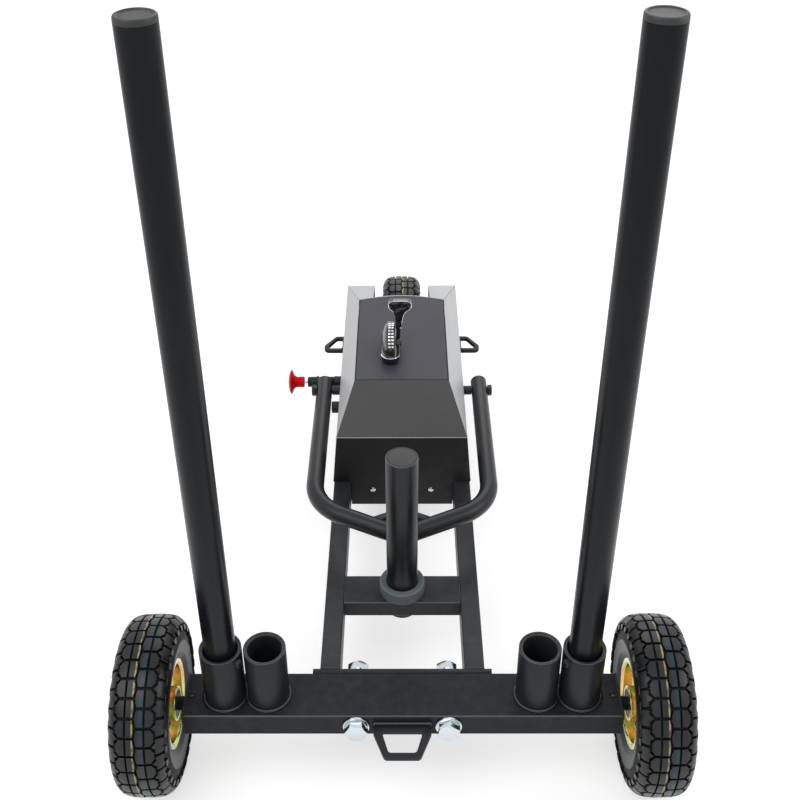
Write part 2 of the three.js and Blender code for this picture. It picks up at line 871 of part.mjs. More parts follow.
// Housing planes, right side first
const right = new THREE.Vector3(1, 0, 0);
const up = new THREE.Vector3(0, 0, 1);
const forward = new THREE.Vector3(0, 1, 0);
const eaveEdge = new THREE.Vector3(housingEaveWidth / 2, 0, housingEaveHeight);
const footEdge = new THREE.Vector3(housingFootWidth / 2, 0, deckHeight);
const topEdge = new THREE.Vector3(housingTopWidth / 2, 0, housingTopHeight);
function besideEdge(low, high, side) {
  const run = high.clone().sub(low);
  const normal = new THREE.Vector3(run.z * side, 0, -run.x);
  return plane(normal, new THREE.Vector3(low.x * side, 0, low.z), housingSheet);
}
const wall = { 1: besideEdge(footEdge, eaveEdge, 1), '-1': besideEdge(footEdge, eaveEdge, -1) };
const shoulder = { 1: besideEdge(eaveEdge, topEdge, 1), '-1': besideEdge(eaveEdge, topEdge, -1) };
const rearFace = plane(forward.clone().negate(), new THREE.Vector3(0, housingRear, 0), housingSheet);
const frontFace = plane(forward, new THREE.Vector3(0, housingFront, 0), housingSheet);
function slopeFace(lowPlace, highPlace) {
  const run = highPlace - lowPlace;
  const rise = housingTopHeight - housingEaveHeight;
  const normal = new THREE.Vector3(0, -rise * Math.sign(run), Math.abs(run));
  return plane(normal, new THREE.Vector3(0, lowPlace, housingEaveHeight), housingSheet);
}
const rearSlopeFace = slopeFace(housingRear, housingTopRear);
const frontSlopeFace = slopeFace(housingFront, housingTopFront);
const footFace = plane(up.clone().negate(), new THREE.Vector3(0, 0, deckHeight), 0);
const topSide = (side) => plane(
  right.clone().multiplyScalar(-side),
  new THREE.Vector3((side * housingTopWidth) / 2, 0, 0),
  0,
);
const topRearSide = plane(forward, new THREE.Vector3(0, housingTopRear, 0), 0);
const topFrontSide = plane(forward.clone().negate(), new THREE.Vector3(0, housingTopFront, 0), 0);

// Side shells with holes for the pivot spacers and index bosses
const pinPoint = (degrees) => {
  const angle = THREE.MathUtils.degToRad(degrees);
  return [handlePivotPlace + pinReach * Math.cos(angle), handlePivotHeight + pinReach * Math.sin(angle)];
};
const lockedPoint = pinPoint(pinTiltDegrees);
const flippedPoint = pinPoint(pinTiltDegrees - handleFlipDegrees);
const plateOuter = pivotPlateSpread / 2 + pivotPlateThickness;
const wallHole = (diameter, [y, z]) => moved(
  rod(plateOuter, housingFootWidth, diameter + fitGap * 4, 'x'),
  0,
  y,
  z,
);
const bossHoles = [lockedPoint, flippedPoint].map((point) => wallHole(indexBossDiameter, point));
const pivotPoint = [handlePivotPlace, handlePivotHeight];
function shell(side) {
  return joined([
    panel(wall[side], [
      [footFace, fitGap],
      [frontFace, housingSeam],
      [shoulder[side], 0],
      [rearFace, fitGap],
    ]),
    panel(shoulder[side], [
      [wall[side], 0],
      [frontSlopeFace, housingSeam],
      [topSide(side), fitGap],
      [rearSlopeFace, fitGap],
    ]),
  ]);
}
const rightShell = cut(shell(1), [wallHole(pivotSpacerDiameter, pivotPoint)]);
const leftHoles = [wallHole(pivotSpacerDiameter, pivotPoint), ...bossHoles];
const leftShell = cut(shell(-1), leftHoles.map(mirrored));
add('housing_shell_left', leftShell, silverCoat());
add('housing_shell_right', rightShell, silverCoat());

// Top panel with a bowed front edge and a hole for the cable
function topOutline(inset) {
  const half = housingTopWidth / 2 - inset;
  const points = [[-half, housingTopRear + inset], [half, housingTopRear + inset]];
  for (let i = 0; i <= smallSides; i += 1) {
    const share = 1 - (2 * i) / smallSides;
    points.push([half * share, housingTopFront - inset + housingTopBow * (1 - share * share)]);
  }
  return outline(points);
}
const panelFloor = housingTopHeight - housingSheet;
const cableHole = rod(panelFloor - cutOverrun, housingTopHeight + cutOverrun, cableDiameter * 2, 'z');
const topPanel = cut(
  pushedAlongZ(topOutline(fitGap), panelFloor, housingTopHeight),
  [moved(cableHole, yokeArmPlace, leverPlace, 0)],
);
add('housing_top_cover', topPanel, grainCoat());

const skirt = cut(block(
  [-railInner + fitGap * 2, housingRear, deckHeight - rearSkirtHeight],
  [railInner - fitGap * 2, housingRear + housingSheet, deckHeight + housingSheet],
), coverScrewHoles);
const rearCover = joined([
  panel(rearSlopeFace, [
    [rearFace, 0],
    [shoulder[1], fitGap],
    [topRearSide, fitGap],
    [shoulder[-1], fitGap],
  ]),
  panel(rearFace, [[footFace, fitGap], [wall[1], fitGap], [rearSlopeFace, 0], [wall[-1], fitGap]]),
  skirt,
]);
add('housing_rear_cover', rearCover, grainCoat());

// Front cover, notched for the wheel
const skirtEdge = plane(
  up.clone().negate(),
  new THREE.Vector3(0, 0, housingEaveHeight - housingFrontSkirt),
  0,
);
const bendReach = housingEaveWidth / 2 - housingSheet * 2;
const bendCore = block(
  [-bendReach, housingFront - housingSheet * 0.65, housingEaveHeight - housingSheet * 0.5],
  [bendReach, housingFront - housingSheet * 0.35, housingEaveHeight - housingSheet * 0.2],
);
const frontBlank = joined([
  bendCore,
  panel(frontSlopeFace, [
    [frontFace, 0],
    [shoulder[1], fitGap],
    [topFrontSide, fitGap],
    [shoulder[-1], fitGap],
  ]),
  panel(frontFace, [[skirtEdge, 0], [wall[1], fitGap], [frontSlopeFace, 0], [wall[-1], fitGap]]),
]);
const wheelNotch = block(
  [-housingNotchWidth / 2, housingNotchRear, deckHeight],
  [housingNotchWidth / 2, housingFront + cutOverrun, housingTopHeight],
);
const underPanel = pushedAlongZ(topOutline(0), panelFloor - fitGap, housingTopHeight + cutOverrun);
const reliefInner = housingEaveWidth / 2 - housingSheet * 1.4;
const eaveRelief = block(
  [reliefInner, housingFront - housingSheet * 2, housingEaveHeight - housingSheet * 0.8],
  [housingFootWidth / 2, housingFront - housingSheet / 2, housingEaveHeight + housingSheet * 0.3],
);
const frontTools = [wheelNotch, underPanel, eaveRelief, mirrored(eaveRelief)];
add('housing_front_cover', cut(frontBlank, frontTools), silverCoat());

// Pivot plates inside the housing stand on the rails
const plateHole = (diameter, [y, z]) => moved(
  rod(0, housingFootWidth, diameter + fitGap * 2, 'x'),
  0,
  y,
  z,
);
const rotorPoint = [rotorPlace, rotorHeight];
const yokePoint = [yokePivotPlace, yokePivotHeight];
const pivotPlate = cut(
  block(
    [pivotPlateSpread / 2, pivotPlateRear, deckHeight + fitGap],
    [plateOuter, pivotPlateFront, deckHeight + pivotPlateRise],
  ),
  [
    plateHole(pivotBoltDiameter, pivotPoint),
    plateHole(rotorShaftDiameter, rotorPoint),
    plateHole(yokeRodDiameter, yokePoint),
  ],
);

// Handle pivots: a spacer boss on each plate, and a bolt with its nut
const armCentre = handleSpread / 2;
const armInner = armCentre - handleTube / 2;
const armOuter = armCentre + handleTube / 2;
const boltHole = pivotBoltDiameter + fitGap * 2;
const pivotNutOuter = pivotPlateSpread / 2 - fitGap;
const pivotBolt = joined([
  hexagon(pivotNutOuter - pivotNutHeight, pivotNutOuter, pivotBoltAcross, 'x'),
  rod(pivotNutOuter - pivotNutHeight - fitGap, armOuter + fitGap * 2, pivotBoltDiameter, 'x'),
  hexagon(armOuter + fitGap, armOuter + fitGap + pivotBoltHead, pivotBoltAcross, 'x'),
]);
const atPivot = (geometry) => moved(geometry, 0, handlePivotPlace, handlePivotHeight);
addPair('handle_pivot_bolt', atPivot(pivotBolt), blackCoat());
const spacerBoss = atPivot(
  ring(plateOuter - fitGap, armInner - fitGap, pivotSpacerDiameter, boltHole, 'x', smallSides),
);
const rightPlate = joined([pivotPlate, spacerBoss]);
add('pivot_plate_right', rightPlate, blackCoat());

// Index bosses for the pop pin, on the left plate only
const bossTip = armInner - indexBossGap;
const boss = turned([
  [plateOuter - fitGap, 0],
  [plateOuter - fitGap, indexBossDiameter / 2],
  [bossTip - fitGap * 4, indexBossDiameter / 2],
  [bossTip, indexBossDiameter / 2 - fitGap * 4],
  [bossTip, indexBossBore / 2],
  [bossTip - pinEngage * 1.4, indexBossBore / 2],
  [bossTip - pinEngage * 1.4, 0],
], 'x', smallSides);
const bosses = joined([moved(boss, 0, ...lockedPoint), moved(boss, 0, ...flippedPoint)]);

// Bar on the left plate that stops the brake cable's casing
const cableSide = yokeArmPlace;
const armPlace = yokePivotPlace - yokeArmReach;
const stopTop = yokePivotHeight + cableStopRise;
const stopBar = joined([
  block(
    [-pivotPlateSpread / 2, armPlace - cableStopWidth / 2, stopTop - cableStopThickness],
    [cableSide + cableStopWidth / 2, armPlace + cableStopWidth / 2, stopTop],
  ),
  block(
    [-pivotPlateSpread / 2 - fitGap, armPlace - cableStopWidth / 2, stopTop - cableStopWidth],
    [-pivotPlateSpread / 2 + cableStopThickness, pivotPlateRear + cableStopWidth, stopTop],
  ),
]);
const wireHole = moved(rod(0, housingTopHeight, cableBore, 'z', cableSides), cableSide, armPlace, 0);
const leftPlate = joined([mirrored(rightPlate), mirrored(bosses), cut(stopBar, [wireHole])]);
add('pivot_plate_left', leftPlate, blackCoat());

// Pull handle: two capped arms, rounded corners and a pointed rear end
const handle = groupAt(0, handlePivotPlace, handlePivotHeight);
const sweep = Math.tan(THREE.MathUtils.degToRad(handleSweepDegrees));
const apex = -handleApexReach - (handleApexRadius / Math.cos(Math.atan(sweep)) - handleApexRadius);
const armEnd = apex + armCentre * sweep;
const handleCorners = [
  new THREE.Vector3(-armCentre, handleEndReach, 0),
  new THREE.Vector3(-armCentre, armEnd, 0),
  new THREE.Vector3(0, apex, 0),
  new THREE.Vector3(armCentre, armEnd, 0),
  new THREE.Vector3(armCentre, handleEndReach, 0),
];
const handleRadii = [handleBendRadius, handleApexRadius, handleBendRadius];
const handleStations = roundedStations(handleCorners, handleRadii);
const pinOffset = [lockedPoint[0] - handlePivotPlace, lockedPoint[1] - handlePivotHeight];
const barrelSeat = moved(
  rod(-pinBarrelOuter, 0, pinBarrelDiameter + fitGap * 2, 'x', roundSides),
  0,
  ...pinOffset,
);
const crossHole = rod(-handleSpread, handleSpread, pivotBoltDiameter + turningGap * 2, 'x');
const handleBore = handleTube - handleTubeWall * 2;
const handleSides = smallSides;
const armEndCap = moved(
  rod(handleEndReach - handleTubeWall, handleEndReach, handleBore + handleTubeWall, 'y', handleSides),
  armCentre,
  0,
  0,
);
const handleTubing = cut(
  joined([pipe(handleStations, handleTube, handleBore, handleSides), leftAndRight(armEndCap)]),
  [crossHole, barrelSeat],
);
add('pull_handle', handleTubing, blackCoat(), handle);

// Tow eye inside the point of the handle
const handleEyeRoot = apex + (handleEyeRootWidth / 2) * sweep;
const handleEyeFront = handleEyeRoot + handleEyeReach + handleTube / 2;
const handleEyeShape = outline([
  [-handleEyeRootWidth / 2, handleEyeRoot],
  [0, apex],
  [handleEyeRootWidth / 2, handleEyeRoot],
  [handleEyeRootWidth / 2, handleEyeRoot + handleTube / 2],
  [handleEyeTipWidth / 2, handleEyeFront],
  [-handleEyeTipWidth / 2, handleEyeFront],
  [-handleEyeRootWidth / 2, handleEyeRoot + handleTube / 2],
]);
const handleEyeHole = outline([
  [-handleEyeRootWidth / 2 + eyeBar * 1.4, handleEyeRoot + handleTube / 2 - eyeBar * 0.3],
  [0, apex],
  [handleEyeRootWidth / 2 - eyeBar * 1.4, handleEyeRoot + handleTube / 2 - eyeBar * 0.3],
  [handleEyeTipWidth / 2 - eyeBar / 3, handleEyeFront - eyeBar],
  [-handleEyeTipWidth / 2 + eyeBar / 3, handleEyeFront - eyeBar],
]);
const handleEye = cut(pushedAlongZ(handleEyeShape, -eyeThickness / 2, eyeThickness / 2), [
  pushedAlongZ(handleEyeHole, -eyeThickness, eyeThickness),
  pipe(handleStations, handleTube + fitGap * 2, 0, handleSides),
]);
add('handle_tow_eye', handleEye, blackCoat(), handle);

// Pop pin barrel across the left arm's end, with its pin drawn clear of the boss, spring and knob
const barrelInner = bossTip + fitGap * 2;
const barrelBore = pinBarrelDiameter - pinBarrelWall * 2;
const barrelThroat = pinDiameter + turningGap * 2;
const collarInner = barrelInner + pinBarrelWall + fitGap + pinEngage;
const collarOuter = collarInner + pinCollarLength;
const springOuter = pinBarrelOuter - pinBarrelWall - fitGap;
const atPin = (geometry) => moved(mirrored(geometry), 0, ...pinOffset);
const barrel = turned([
  [barrelInner, barrelThroat / 2],
  [barrelInner, pinBarrelDiameter / 2],
  [pinBarrelOuter, pinBarrelDiameter / 2],
  [pinBarrelOuter, barrelThroat / 2],
  [pinBarrelOuter - pinBarrelWall, barrelThroat / 2],
  [pinBarrelOuter - pinBarrelWall, barrelBore / 2],
  [barrelInner + pinBarrelWall, barrelBore / 2],
  [barrelInner + pinBarrelWall, barrelThroat / 2],
], 'x', smallSides + 4);
add('pin_barrel', atPin(barrel), blackCoat(), handle);
const pinTip = bossTip + fitGap;
const knobInner = pinKnobOuter - pinKnobLength;
const knobSocket = knobInner + pinKnobLength * 0.4;
const lockingPin = turned([
  [pinTip, 0],
  [pinTip, pinDiameter / 3],
  [pinTip + pinDiameter / 6, pinDiameter / 2],
  [collarInner, pinDiameter / 2],
  [collarInner, pinCollarDiameter / 2],
  [collarOuter, pinCollarDiameter / 2],
  [collarOuter, pinDiameter / 2],
  [knobSocket - fitGap, pinDiameter / 2],
  [knobSocket - fitGap, 0],
], 'x', smallSides);
add('locking_pin', atPin(lockingPin), brightSteel(), handle);
const knob = turned([
  [knobInner, pinDiameter / 2 + fitGap],
  [knobInner, pinKnobNeck / 2],
  [knobInner + pinKnobLength * 0.45, pinKnobNeck / 2],
  [knobInner + pinKnobLength * 0.6, pinKnobNeck * 0.7],
  [pinKnobOuter - pinKnobLength * 0.22, pinKnobDiameter / 2],
  [pinKnobOuter - pinKnobLength * 0.14, pinKnobDiameter / 2],
  [pinKnobOuter - pinKnobLength * 0.04, pinKnobDiameter * 0.3],
  [pinKnobOuter, 0],
  [knobSocket, 0],
  [knobSocket, pinDiameter / 2 + fitGap],
], 'x', smallSides + 4);
add('pin_knob', atPin(knob), redPlastic(), handle);
const pinSpringDiameter = (barrelBore + pinDiameter) / 2;
const pinSpring = coil(
  collarOuter + fitGap + pinSpringWire / 2,
  springOuter - pinSpringWire / 2,
  pinSpringDiameter,
  pinSpringWire,
  pinSpringCurls,
);
add('pin_spring', atPin(pinSpring), brightSteel(), handle);

// Wheel parts around X, with the long side of the hub toward the frame
function tyreGeometry() {
  const half = tyreWidth / 2;
  const crown = tyreDiameter / 2;
  const bead = beadSeatDiameter / 2 + fitGap;
  const flange = rimFlangeDiameter / 2 + fitGap * 2;
  const flangeHalf = rimFlangeSpan / 2;
  const beadHalf = flangeHalf - rimSheet - fitGap;
  const depth = crown - flange;
  const lift = treadDepth;
  const side = [
    [beadHalf, bead, 0],
    [beadHalf, flange, 0],
    [half * 0.975, flange + depth * 0.13, 0],
    [half, flange + depth * 0.4, 0],
    [half * 0.945, flange + depth * 0.7, lift * 0.5],
    [half * 0.76, flange + depth * 0.91, lift],
  ];
  const inside = [
    [beadHalf - tyreWall, bead],
    [half - tyreWall * 1.1, flange + depth * 0.4],
    [half * 0.6, crown - tyreWall - treadDepth],
  ];
  const rows = [];
  side.forEach(([x, r, groove]) => rows.push({ x, r, groove, phase: 0 }));
  rows.push({ x: 0, r: crown / Math.cos(Math.PI / wheelSides), groove: 0, phase: 0 });
  side.slice().reverse().forEach(([x, r, groove]) => rows.push({ x: -x, r, groove, phase: 1 }));
  inside.forEach(([x, r]) => rows.push({ x: -x, r, groove: 0, phase: 0 }));
  inside.slice().reverse().forEach(([x, r]) => rows.push({ x, r, groove: 0, phase: 0 }));
  const positions = [];
  const index = [];
  for (let step = 0; step < wheelSides; step += 1) {
    const angle = ((step + 0.5) / wheelSides) * Math.PI * 2 - Math.PI / 2;
    for (const row of rows) {
      const r = row.r - ((step + row.phase) % 2) * row.groove;
      positions.push(row.x, r * Math.cos(angle), r * Math.sin(angle));
    }
  }
  const count = rows.length;
  for (let step = 0; step < wheelSides; step += 1) {
    const next = ((step + 1) % wheelSides) * count;
    for (let i = 0; i < count; i += 1) {
      const j = (i + 1) % count;
      index.push(step * count + i, next + i, step * count + j);
      index.push(step * count + j, next + i, next + j);
    }
  }
  const geometry = new THREE.BufferGeometry();
  geometry.setAttribute('position', new THREE.Float32BufferAttribute(positions, 3));
  geometry.setIndex(index);
  return closed(geometry);
}

const flangeHalf = rimFlangeSpan / 2;
const wellHalf = flangeHalf * 0.42;
const discPlace = hubInnerReach * 0.1;
const hubBore = (bearingDiameter / 2 + fitGap) / Math.cos(Math.PI / rimSides);
const rim = turned([
  [-hubOuterReach, hubBore],
  [hubInnerReach, hubBore],
  [hubInnerReach, hubDiameter / 2],
  [discPlace + rimSheet, hubDiameter / 2],
  [discPlace + rimSheet, rimWellDiameter / 2 - rimSheet],
  [wellHalf - rimSheet, rimWellDiameter / 2 - rimSheet],
  [wellHalf + rimSheet, beadSeatDiameter / 2 - rimSheet],
  [flangeHalf, beadSeatDiameter / 2 - rimSheet],
  [flangeHalf, rimFlangeDiameter / 2],
  [flangeHalf - rimSheet, rimFlangeDiameter / 2],
  [flangeHalf - rimSheet, beadSeatDiameter / 2],
  [wellHalf, beadSeatDiameter / 2],
  [wellHalf - rimSheet * 2, rimWellDiameter / 2],
  [-wellHalf + rimSheet * 2, rimWellDiameter / 2],
  [-wellHalf, beadSeatDiameter / 2],
  [-flangeHalf + rimSheet, beadSeatDiameter / 2],
  [-flangeHalf + rimSheet, rimFlangeDiameter / 2],
  [-flangeHalf, rimFlangeDiameter / 2],
  [-flangeHalf, beadSeatDiameter / 2 - rimSheet],
  [-wellHalf - rimSheet, beadSeatDiameter / 2 - rimSheet],
  [-wellHalf + rimSheet, rimWellDiameter / 2 - rimSheet],
  [discPlace, rimWellDiameter / 2 - rimSheet],
  [discPlace, hubDiameter / 2],
  [-hubOuterReach, hubDiameter / 2],
], 'x', rimSides);

// Two ball bearings and the sleeve that spaces their inner rings
function bearingPair(low, high, outer, width, bore) {
  const sleeve = bore / 2 + (outer - bore) / 6;
  return turned([
    [low, bore / 2 + fitGap],
    [low, outer / 2],
    [low + width, outer / 2],
    [low + width, sleeve],
    [high - width, sleeve],
    [high - width, outer / 2],
    [high, outer / 2],
    [high, bore / 2 + fitGap],
  ], 'x', smallSides);
}
const wheelBearings = bearingPair(
  -hubOuterReach,
  hubInnerReach,
  bearingDiameter,
  bearingWidth,
  axleDiameter,
);
const tyre = tyreGeometry();
function addWheel(name, x, y, turn) {
  const wheel = groupAt(x, y, axleHeight);
  wheel.rotation.z = turn;
  add(`${name}_tyre`, tyre, blackRubber(), wheel);
  add(`${name}_rim`, rim, goldZinc(), wheel);
  return wheel;
}
addWheel('rear_left', -wheelCentre, 0, 0);
addWheel('rear_right', wheelCentre, 0, Math.PI);
const frontWheel = addWheel('front', 0, wheelBase, 0);

// Drive pulley on the end of the front hub
const grooveHalf = beltWidth / 2 + fitGap;
const drivePulleyInner = driveLine - grooveHalf - pulleyFlangeThickness;
const drivePulleyOuter = driveLine + grooveHalf + pulleyFlangeThickness;
const grooveRadius = drivePulleyDiameter / 2 - beltThickness;
const driveFlange = drivePulleyDiameter / 2 + pulleyFlange;
const drivePulley = turned([
  [hubInnerReach + fitGap, axleDiameter / 2 + fitGap * 2],
  [hubInnerReach + fitGap, hubDiameter / 2],
  [drivePulleyInner, hubDiameter / 2],
  [drivePulleyInner, driveFlange],
  [driveLine - grooveHalf, driveFlange],
  [driveLine - grooveHalf, grooveRadius],
  [driveLine + grooveHalf, grooveRadius],
  [driveLine + grooveHalf, driveFlange],
  [drivePulleyOuter, driveFlange],
  [drivePulleyOuter, axleDiameter / 2 + fitGap * 2],
], 'x');
add('drive_pulley', drivePulley, rotorMetal(), frontWheel);

// Front axle through each rail's inner wall, with its spacer sleeves and its nuts inside the rails
const frontNutInner = railInner + railWall + fitGap;
const frontNutOuter = frontNutInner + axleNutHeight;
const frontAxleEnd = frontNutOuter + fitGap;
const atFrontAxle = (geometry) => moved(geometry, 0, wheelBase, axleHeight);
const frontAxle = joined([
  rod(-frontAxleEnd, frontAxleEnd, axleDiameter, 'x'),
  rod(-railInner + fitGap, -hubOuterReach - fitGap, axleCollarDiameter, 'x'),
  rod(drivePulleyOuter + fitGap, railInner - fitGap, axleCollarDiameter, 'x'),
  leftAndRight(hexagon(frontNutInner, frontNutOuter, axleNutAcross, 'x')),
]);
add('front_axle', atFrontAxle(frontAxle), zincPlate());

// Brake rotor with the driven pulley on its hub
const rotor = groupAt(0, rotorPlace, rotorHeight);
const drivenGroove = drivenPulleyDiameter / 2 - beltThickness;
const drivenFlange = drivenPulleyDiameter / 2 + pulleyFlange;
const rotorBoreRadius = rotorBearingDiameter / 2 + fitGap;
const rotorSleeveBore = rotorShaftDiameter + fitGap * 2;
const rotorBody = turned([
  [-rotorHubSpan, rotorBoreRadius],
  [rotorHubSpan + fitGap, rotorBoreRadius],
  [rotorHubSpan + fitGap, rotorSleeveBore / 2],
  [drivePulleyOuter, rotorSleeveBore / 2],
  [drivePulleyOuter, drivenFlange],
  [driveLine + grooveHalf, drivenFlange],
  [driveLine + grooveHalf, drivenGroove],
  [driveLine - grooveHalf, drivenGroove],
  [driveLine - grooveHalf, drivenFlange],
  [drivePulleyInner, drivenFlange],
  [drivePulleyInner, rotorHubDiameter / 2],
  [rotorThickness / 2, rotorHubDiameter / 2],
  [rotorThickness / 2, rotorDiameter / 2],
  [-rotorThickness / 2, rotorDiameter / 2],
  [-rotorThickness / 2, rotorHubDiameter / 2],
  [-rotorHubSpan, rotorHubDiameter / 2],
], 'x');
add('brake_rotor', rotorBody, rotorMetal(), rotor);
const rotorBearings = bearingPair(
  -rotorHubSpan,
  rotorHubSpan,
  rotorBearingDiameter,
  rotorBearingWidth,
  rotorShaftDiameter,
);
const rearBearings = moved(wheelBearings, -wheelCentre, 0, axleHeight);
add('rear_left_bearings', rearBearings, brightSteel());
add('rear_right_bearings', mirrored(rearBearings), brightSteel());
add('front_bearings', atFrontAxle(wheelBearings), brightSteel());
add('rotor_bearings', moved(rotorBearings, 0, ...rotorPoint), brightSteel());
const shaftEnd = plateOuter + rotorNutHeight;
const plateInner = pivotPlateSpread / 2;
const rotorShaft = joined([
  rod(-shaftEnd, shaftEnd, rotorShaftDiameter, 'x'),
  rod(-plateInner + fitGap, -rotorHubSpan - fitGap, rotorSleeveDiameter, 'x'),
  rod(drivePulleyOuter + fitGap, plateInner - fitGap, rotorSleeveDiameter, 'x'),
  leftAndRight(hexagon(plateOuter + fitGap, shaftEnd - fitGap, rotorNutAcross, 'x')),
]);
add('rotor_shaft', moved(rotorShaft, 0, ...rotorPoint), zincPlate());

// Flat belt around both pulleys
function beltLoop(extra) {
  const big = drivePulleyDiameter / 2 - beltThickness + extra;
  const small = drivenPulleyDiameter / 2 - beltThickness + extra;
  const dy = wheelBase - rotorPlace;
  const dz = axleHeight - rotorHeight;
  const heading = Math.atan2(dz, dy);
  const opening = Math.acos((small - big) / Math.hypot(dy, dz));
  const points = [];
  for (let i = 0; i <= smallSides; i += 1) {
    const angle = heading + opening + ((Math.PI - opening) * 2 * i) / smallSides;
    points.push([rotorPlace + small * Math.cos(angle), rotorHeight + small * Math.sin(angle)]);
  }
  for (let i = 0; i <= smallSides; i += 1) {
    const angle = heading - opening + (opening * 2 * i) / smallSides;
    points.push([wheelBase + big * Math.cos(angle), axleHeight + big * Math.sin(angle)]);
  }
  return points;
}
const beltShape = outline(beltLoop(beltThickness), [beltLoop(turningGap * 2)]);
const belt = pushedAlongX(beltShape, driveLine - beltWidth / 2, driveLine + beltWidth / 2);
add('drive_belt', belt, blackRubber());

// Magnet yoke that swings over the rotor's rim
const yoke = groupAt(0, yokePivotPlace, yokePivotHeight);
const yokeLean = THREE.MathUtils.degToRad(yokeLeanDegrees);
const yokeHole = rod(-frameWidth, frameWidth, yokeRodDiameter + turningGap * 2, 'x');
const yokeTurn = (geometry) => geometry.clone().rotateX(-yokeLean);
const cheekShape = outline([
  [-yokeNeck / 2, 0],
  [yokeNeck / 2, 0],
  [yokePadWidth / 2, yokeReach * 0.5],
  [yokePadWidth / 2, yokeReach],
  [-yokePadWidth / 2, yokeReach],
  [-yokePadWidth / 2, yokeReach * 0.5],
]);
const cheek = (inner) => pushedAlongX(cheekShape, inner, inner + yokeCheek);
const bridge = block(
  [-yokeSlot / 2 - yokeCheek, -yokePadWidth / 2 - yokeCheek, yokeReach * 0.5],
  [yokeSlot / 2 + yokeCheek, -yokePadWidth / 2, yokeReach],
);
const yokeArm = block(
  [yokeArmPlace - yokeArmThickness / 2, -yokeArmReach - yokeArmHeight / 2, -yokeArmHeight / 2],
  [yokeArmPlace + yokeArmThickness / 2, 0, yokeArmHeight / 2],
);
const magnetRows = [yokeReach - magnetDiameter * 0.7, yokeReach - magnetDiameter * 1.8];
const magnetInner = yokeSlot / 2 - magnetThickness;
const magnets = magnetRows.flatMap((height) => [-1, 1].map((side) => yokeTurn(leftAndRight(moved(
  rod(magnetInner, yokeSlot / 2 + fitGap, magnetDiameter, 'x', magnetSides),
  0,
  (side * (magnetDiameter + fitGap * 2)) / 2,
  height,
)))));
const yokeBody = cut(joined([
  ...magnets,
  rod(-yokeTubeSpan / 2, yokeTubeSpan / 2, yokeTubeDiameter, 'x'),
  yokeTurn(cheek(yokeSlot / 2)),
  yokeTurn(cheek(-yokeSlot / 2 - yokeCheek)),
  yokeTurn(bridge),
  yokeArm,
]), [
  yokeHole,
  moved(rod(-yokeArmHeight, yokeArmHeight, yokeArmHole, 'z', cableSides), yokeArmPlace, -yokeArmReach, 0),
]);
add('magnet_yoke', yokeBody, blackCoat(), yoke);
const yokeSpring = coil(
  yokeTubeSpan / 2 + yokeSpringWire + fitGap,
  yokeTubeSpan / 2 + yokeSpringWire + fitGap + yokeSpringCurls * yokeSpringWire * 2,
  yokeRodDiameter + yokeSpringWire * 2,
  yokeSpringWire,
  yokeSpringCurls,
);
add('yoke_spring', yokeSpring, brightSteel(), yoke);
const rodEnd = plateOuter + fitGap;
add('yoke_rod', moved(rod(-rodEnd, rodEnd, yokeRodDiameter, 'x'), 0, ...yokePoint), zincPlate());

// Lever frame numbers that the cable and the lever share
const quadrantFloor = housingTopHeight + fitGap;
const leverAxis = quadrantFloor + leverHubDiameter / 2 + fitGap;
const passageDepth = cableDiameter;
const passageDiameter = cableDiameter + fitGap * 2;

// Brake cable from the lever's foot down to the yoke's arm
const cableTop = new THREE.Vector3(cableSide, leverPlace, quadrantFloor + passageDepth - fitGap);
const cableFoot = new THREE.Vector3(cableSide, armPlace, stopTop + fitGap);
const cableDrop = housingTopHeight - stopTop;
const cableCorners = [
  cableTop,
  new THREE.Vector3(cableSide, leverPlace, housingTopHeight - cableDrop * 0.3),
  new THREE.Vector3(cableSide, cableFoot.y, housingTopHeight - cableDrop * 0.7),
  cableFoot,
];
const cableBend = cableDrop * 0.25;
const cableStations = roundedStations(cableCorners, [cableBend, cableBend]);
const cable = pipe(cableStations, cableDiameter, cableBore, cableSides);
add('brake_cable', cable, blackPlastic());
const nippleTop = yokePivotHeight - yokeArmHeight / 2 - fitGap;
const wireTop = stopTop + cableDiameter * 1.5;
const brakeWire = turned([
  [nippleTop - cableDiameter, 0],
  [nippleTop - cableDiameter, nippleDiameter / 2],
  [nippleTop, nippleDiameter / 2],
  [nippleTop, wireDiameter / 2],
  [wireTop, wireDiameter / 2],
  [wireTop, 0],
], 'z', cableSides);
add('brake_wire', moved(brakeWire, cableSide, armPlace, 0), brightSteel());

// Lever quadrant with a toothed edge, standing on the top panel
const quadrantBaseTop = quadrantFloor + quadrantBaseThickness - leverAxis;
const quadrantBase = quadrantFloor - leverAxis;
const quadrantPoints = [[quadrantRadius, quadrantBaseTop]];
const firstTooth = 90;
for (let step = 0; step < quadrantSteps; step += 1) {
  const angle = THREE.MathUtils.degToRad((firstTooth * step) / quadrantSteps);
  quadrantPoints.push([quadrantRadius * Math.cos(angle), quadrantRadius * Math.sin(angle)]);
}
const toothShares = [[0, 0], [0.5, 0], [0.5, 1], [1, 1]];
for (let i = 0; i < quadrantTeeth; i += 1) {
  for (const [alongShare, depthShare] of toothShares) {
    const angle = THREE.MathUtils.degToRad(firstTooth + quadrantToothDegrees * (i + alongShare));
    const radius = quadrantRadius - depthShare * quadrantToothDepth;
    quadrantPoints.push([radius * Math.cos(angle), radius * Math.sin(angle)]);
  }
}
quadrantPoints.push([-quadrantRadius, quadrantBaseTop]);
const quadrantLow = leverSide - quadrantBaseWidth / 2;
const quadrantHigh = quadrantLow + quadrantWidth;
const leverLow = quadrantHigh + turningGap;
const leverHigh = leverLow + leverArmThickness;
const screwHole = rod(-frameWidth, frameWidth, leverScrewDiameter + turningGap * 2, 'x');
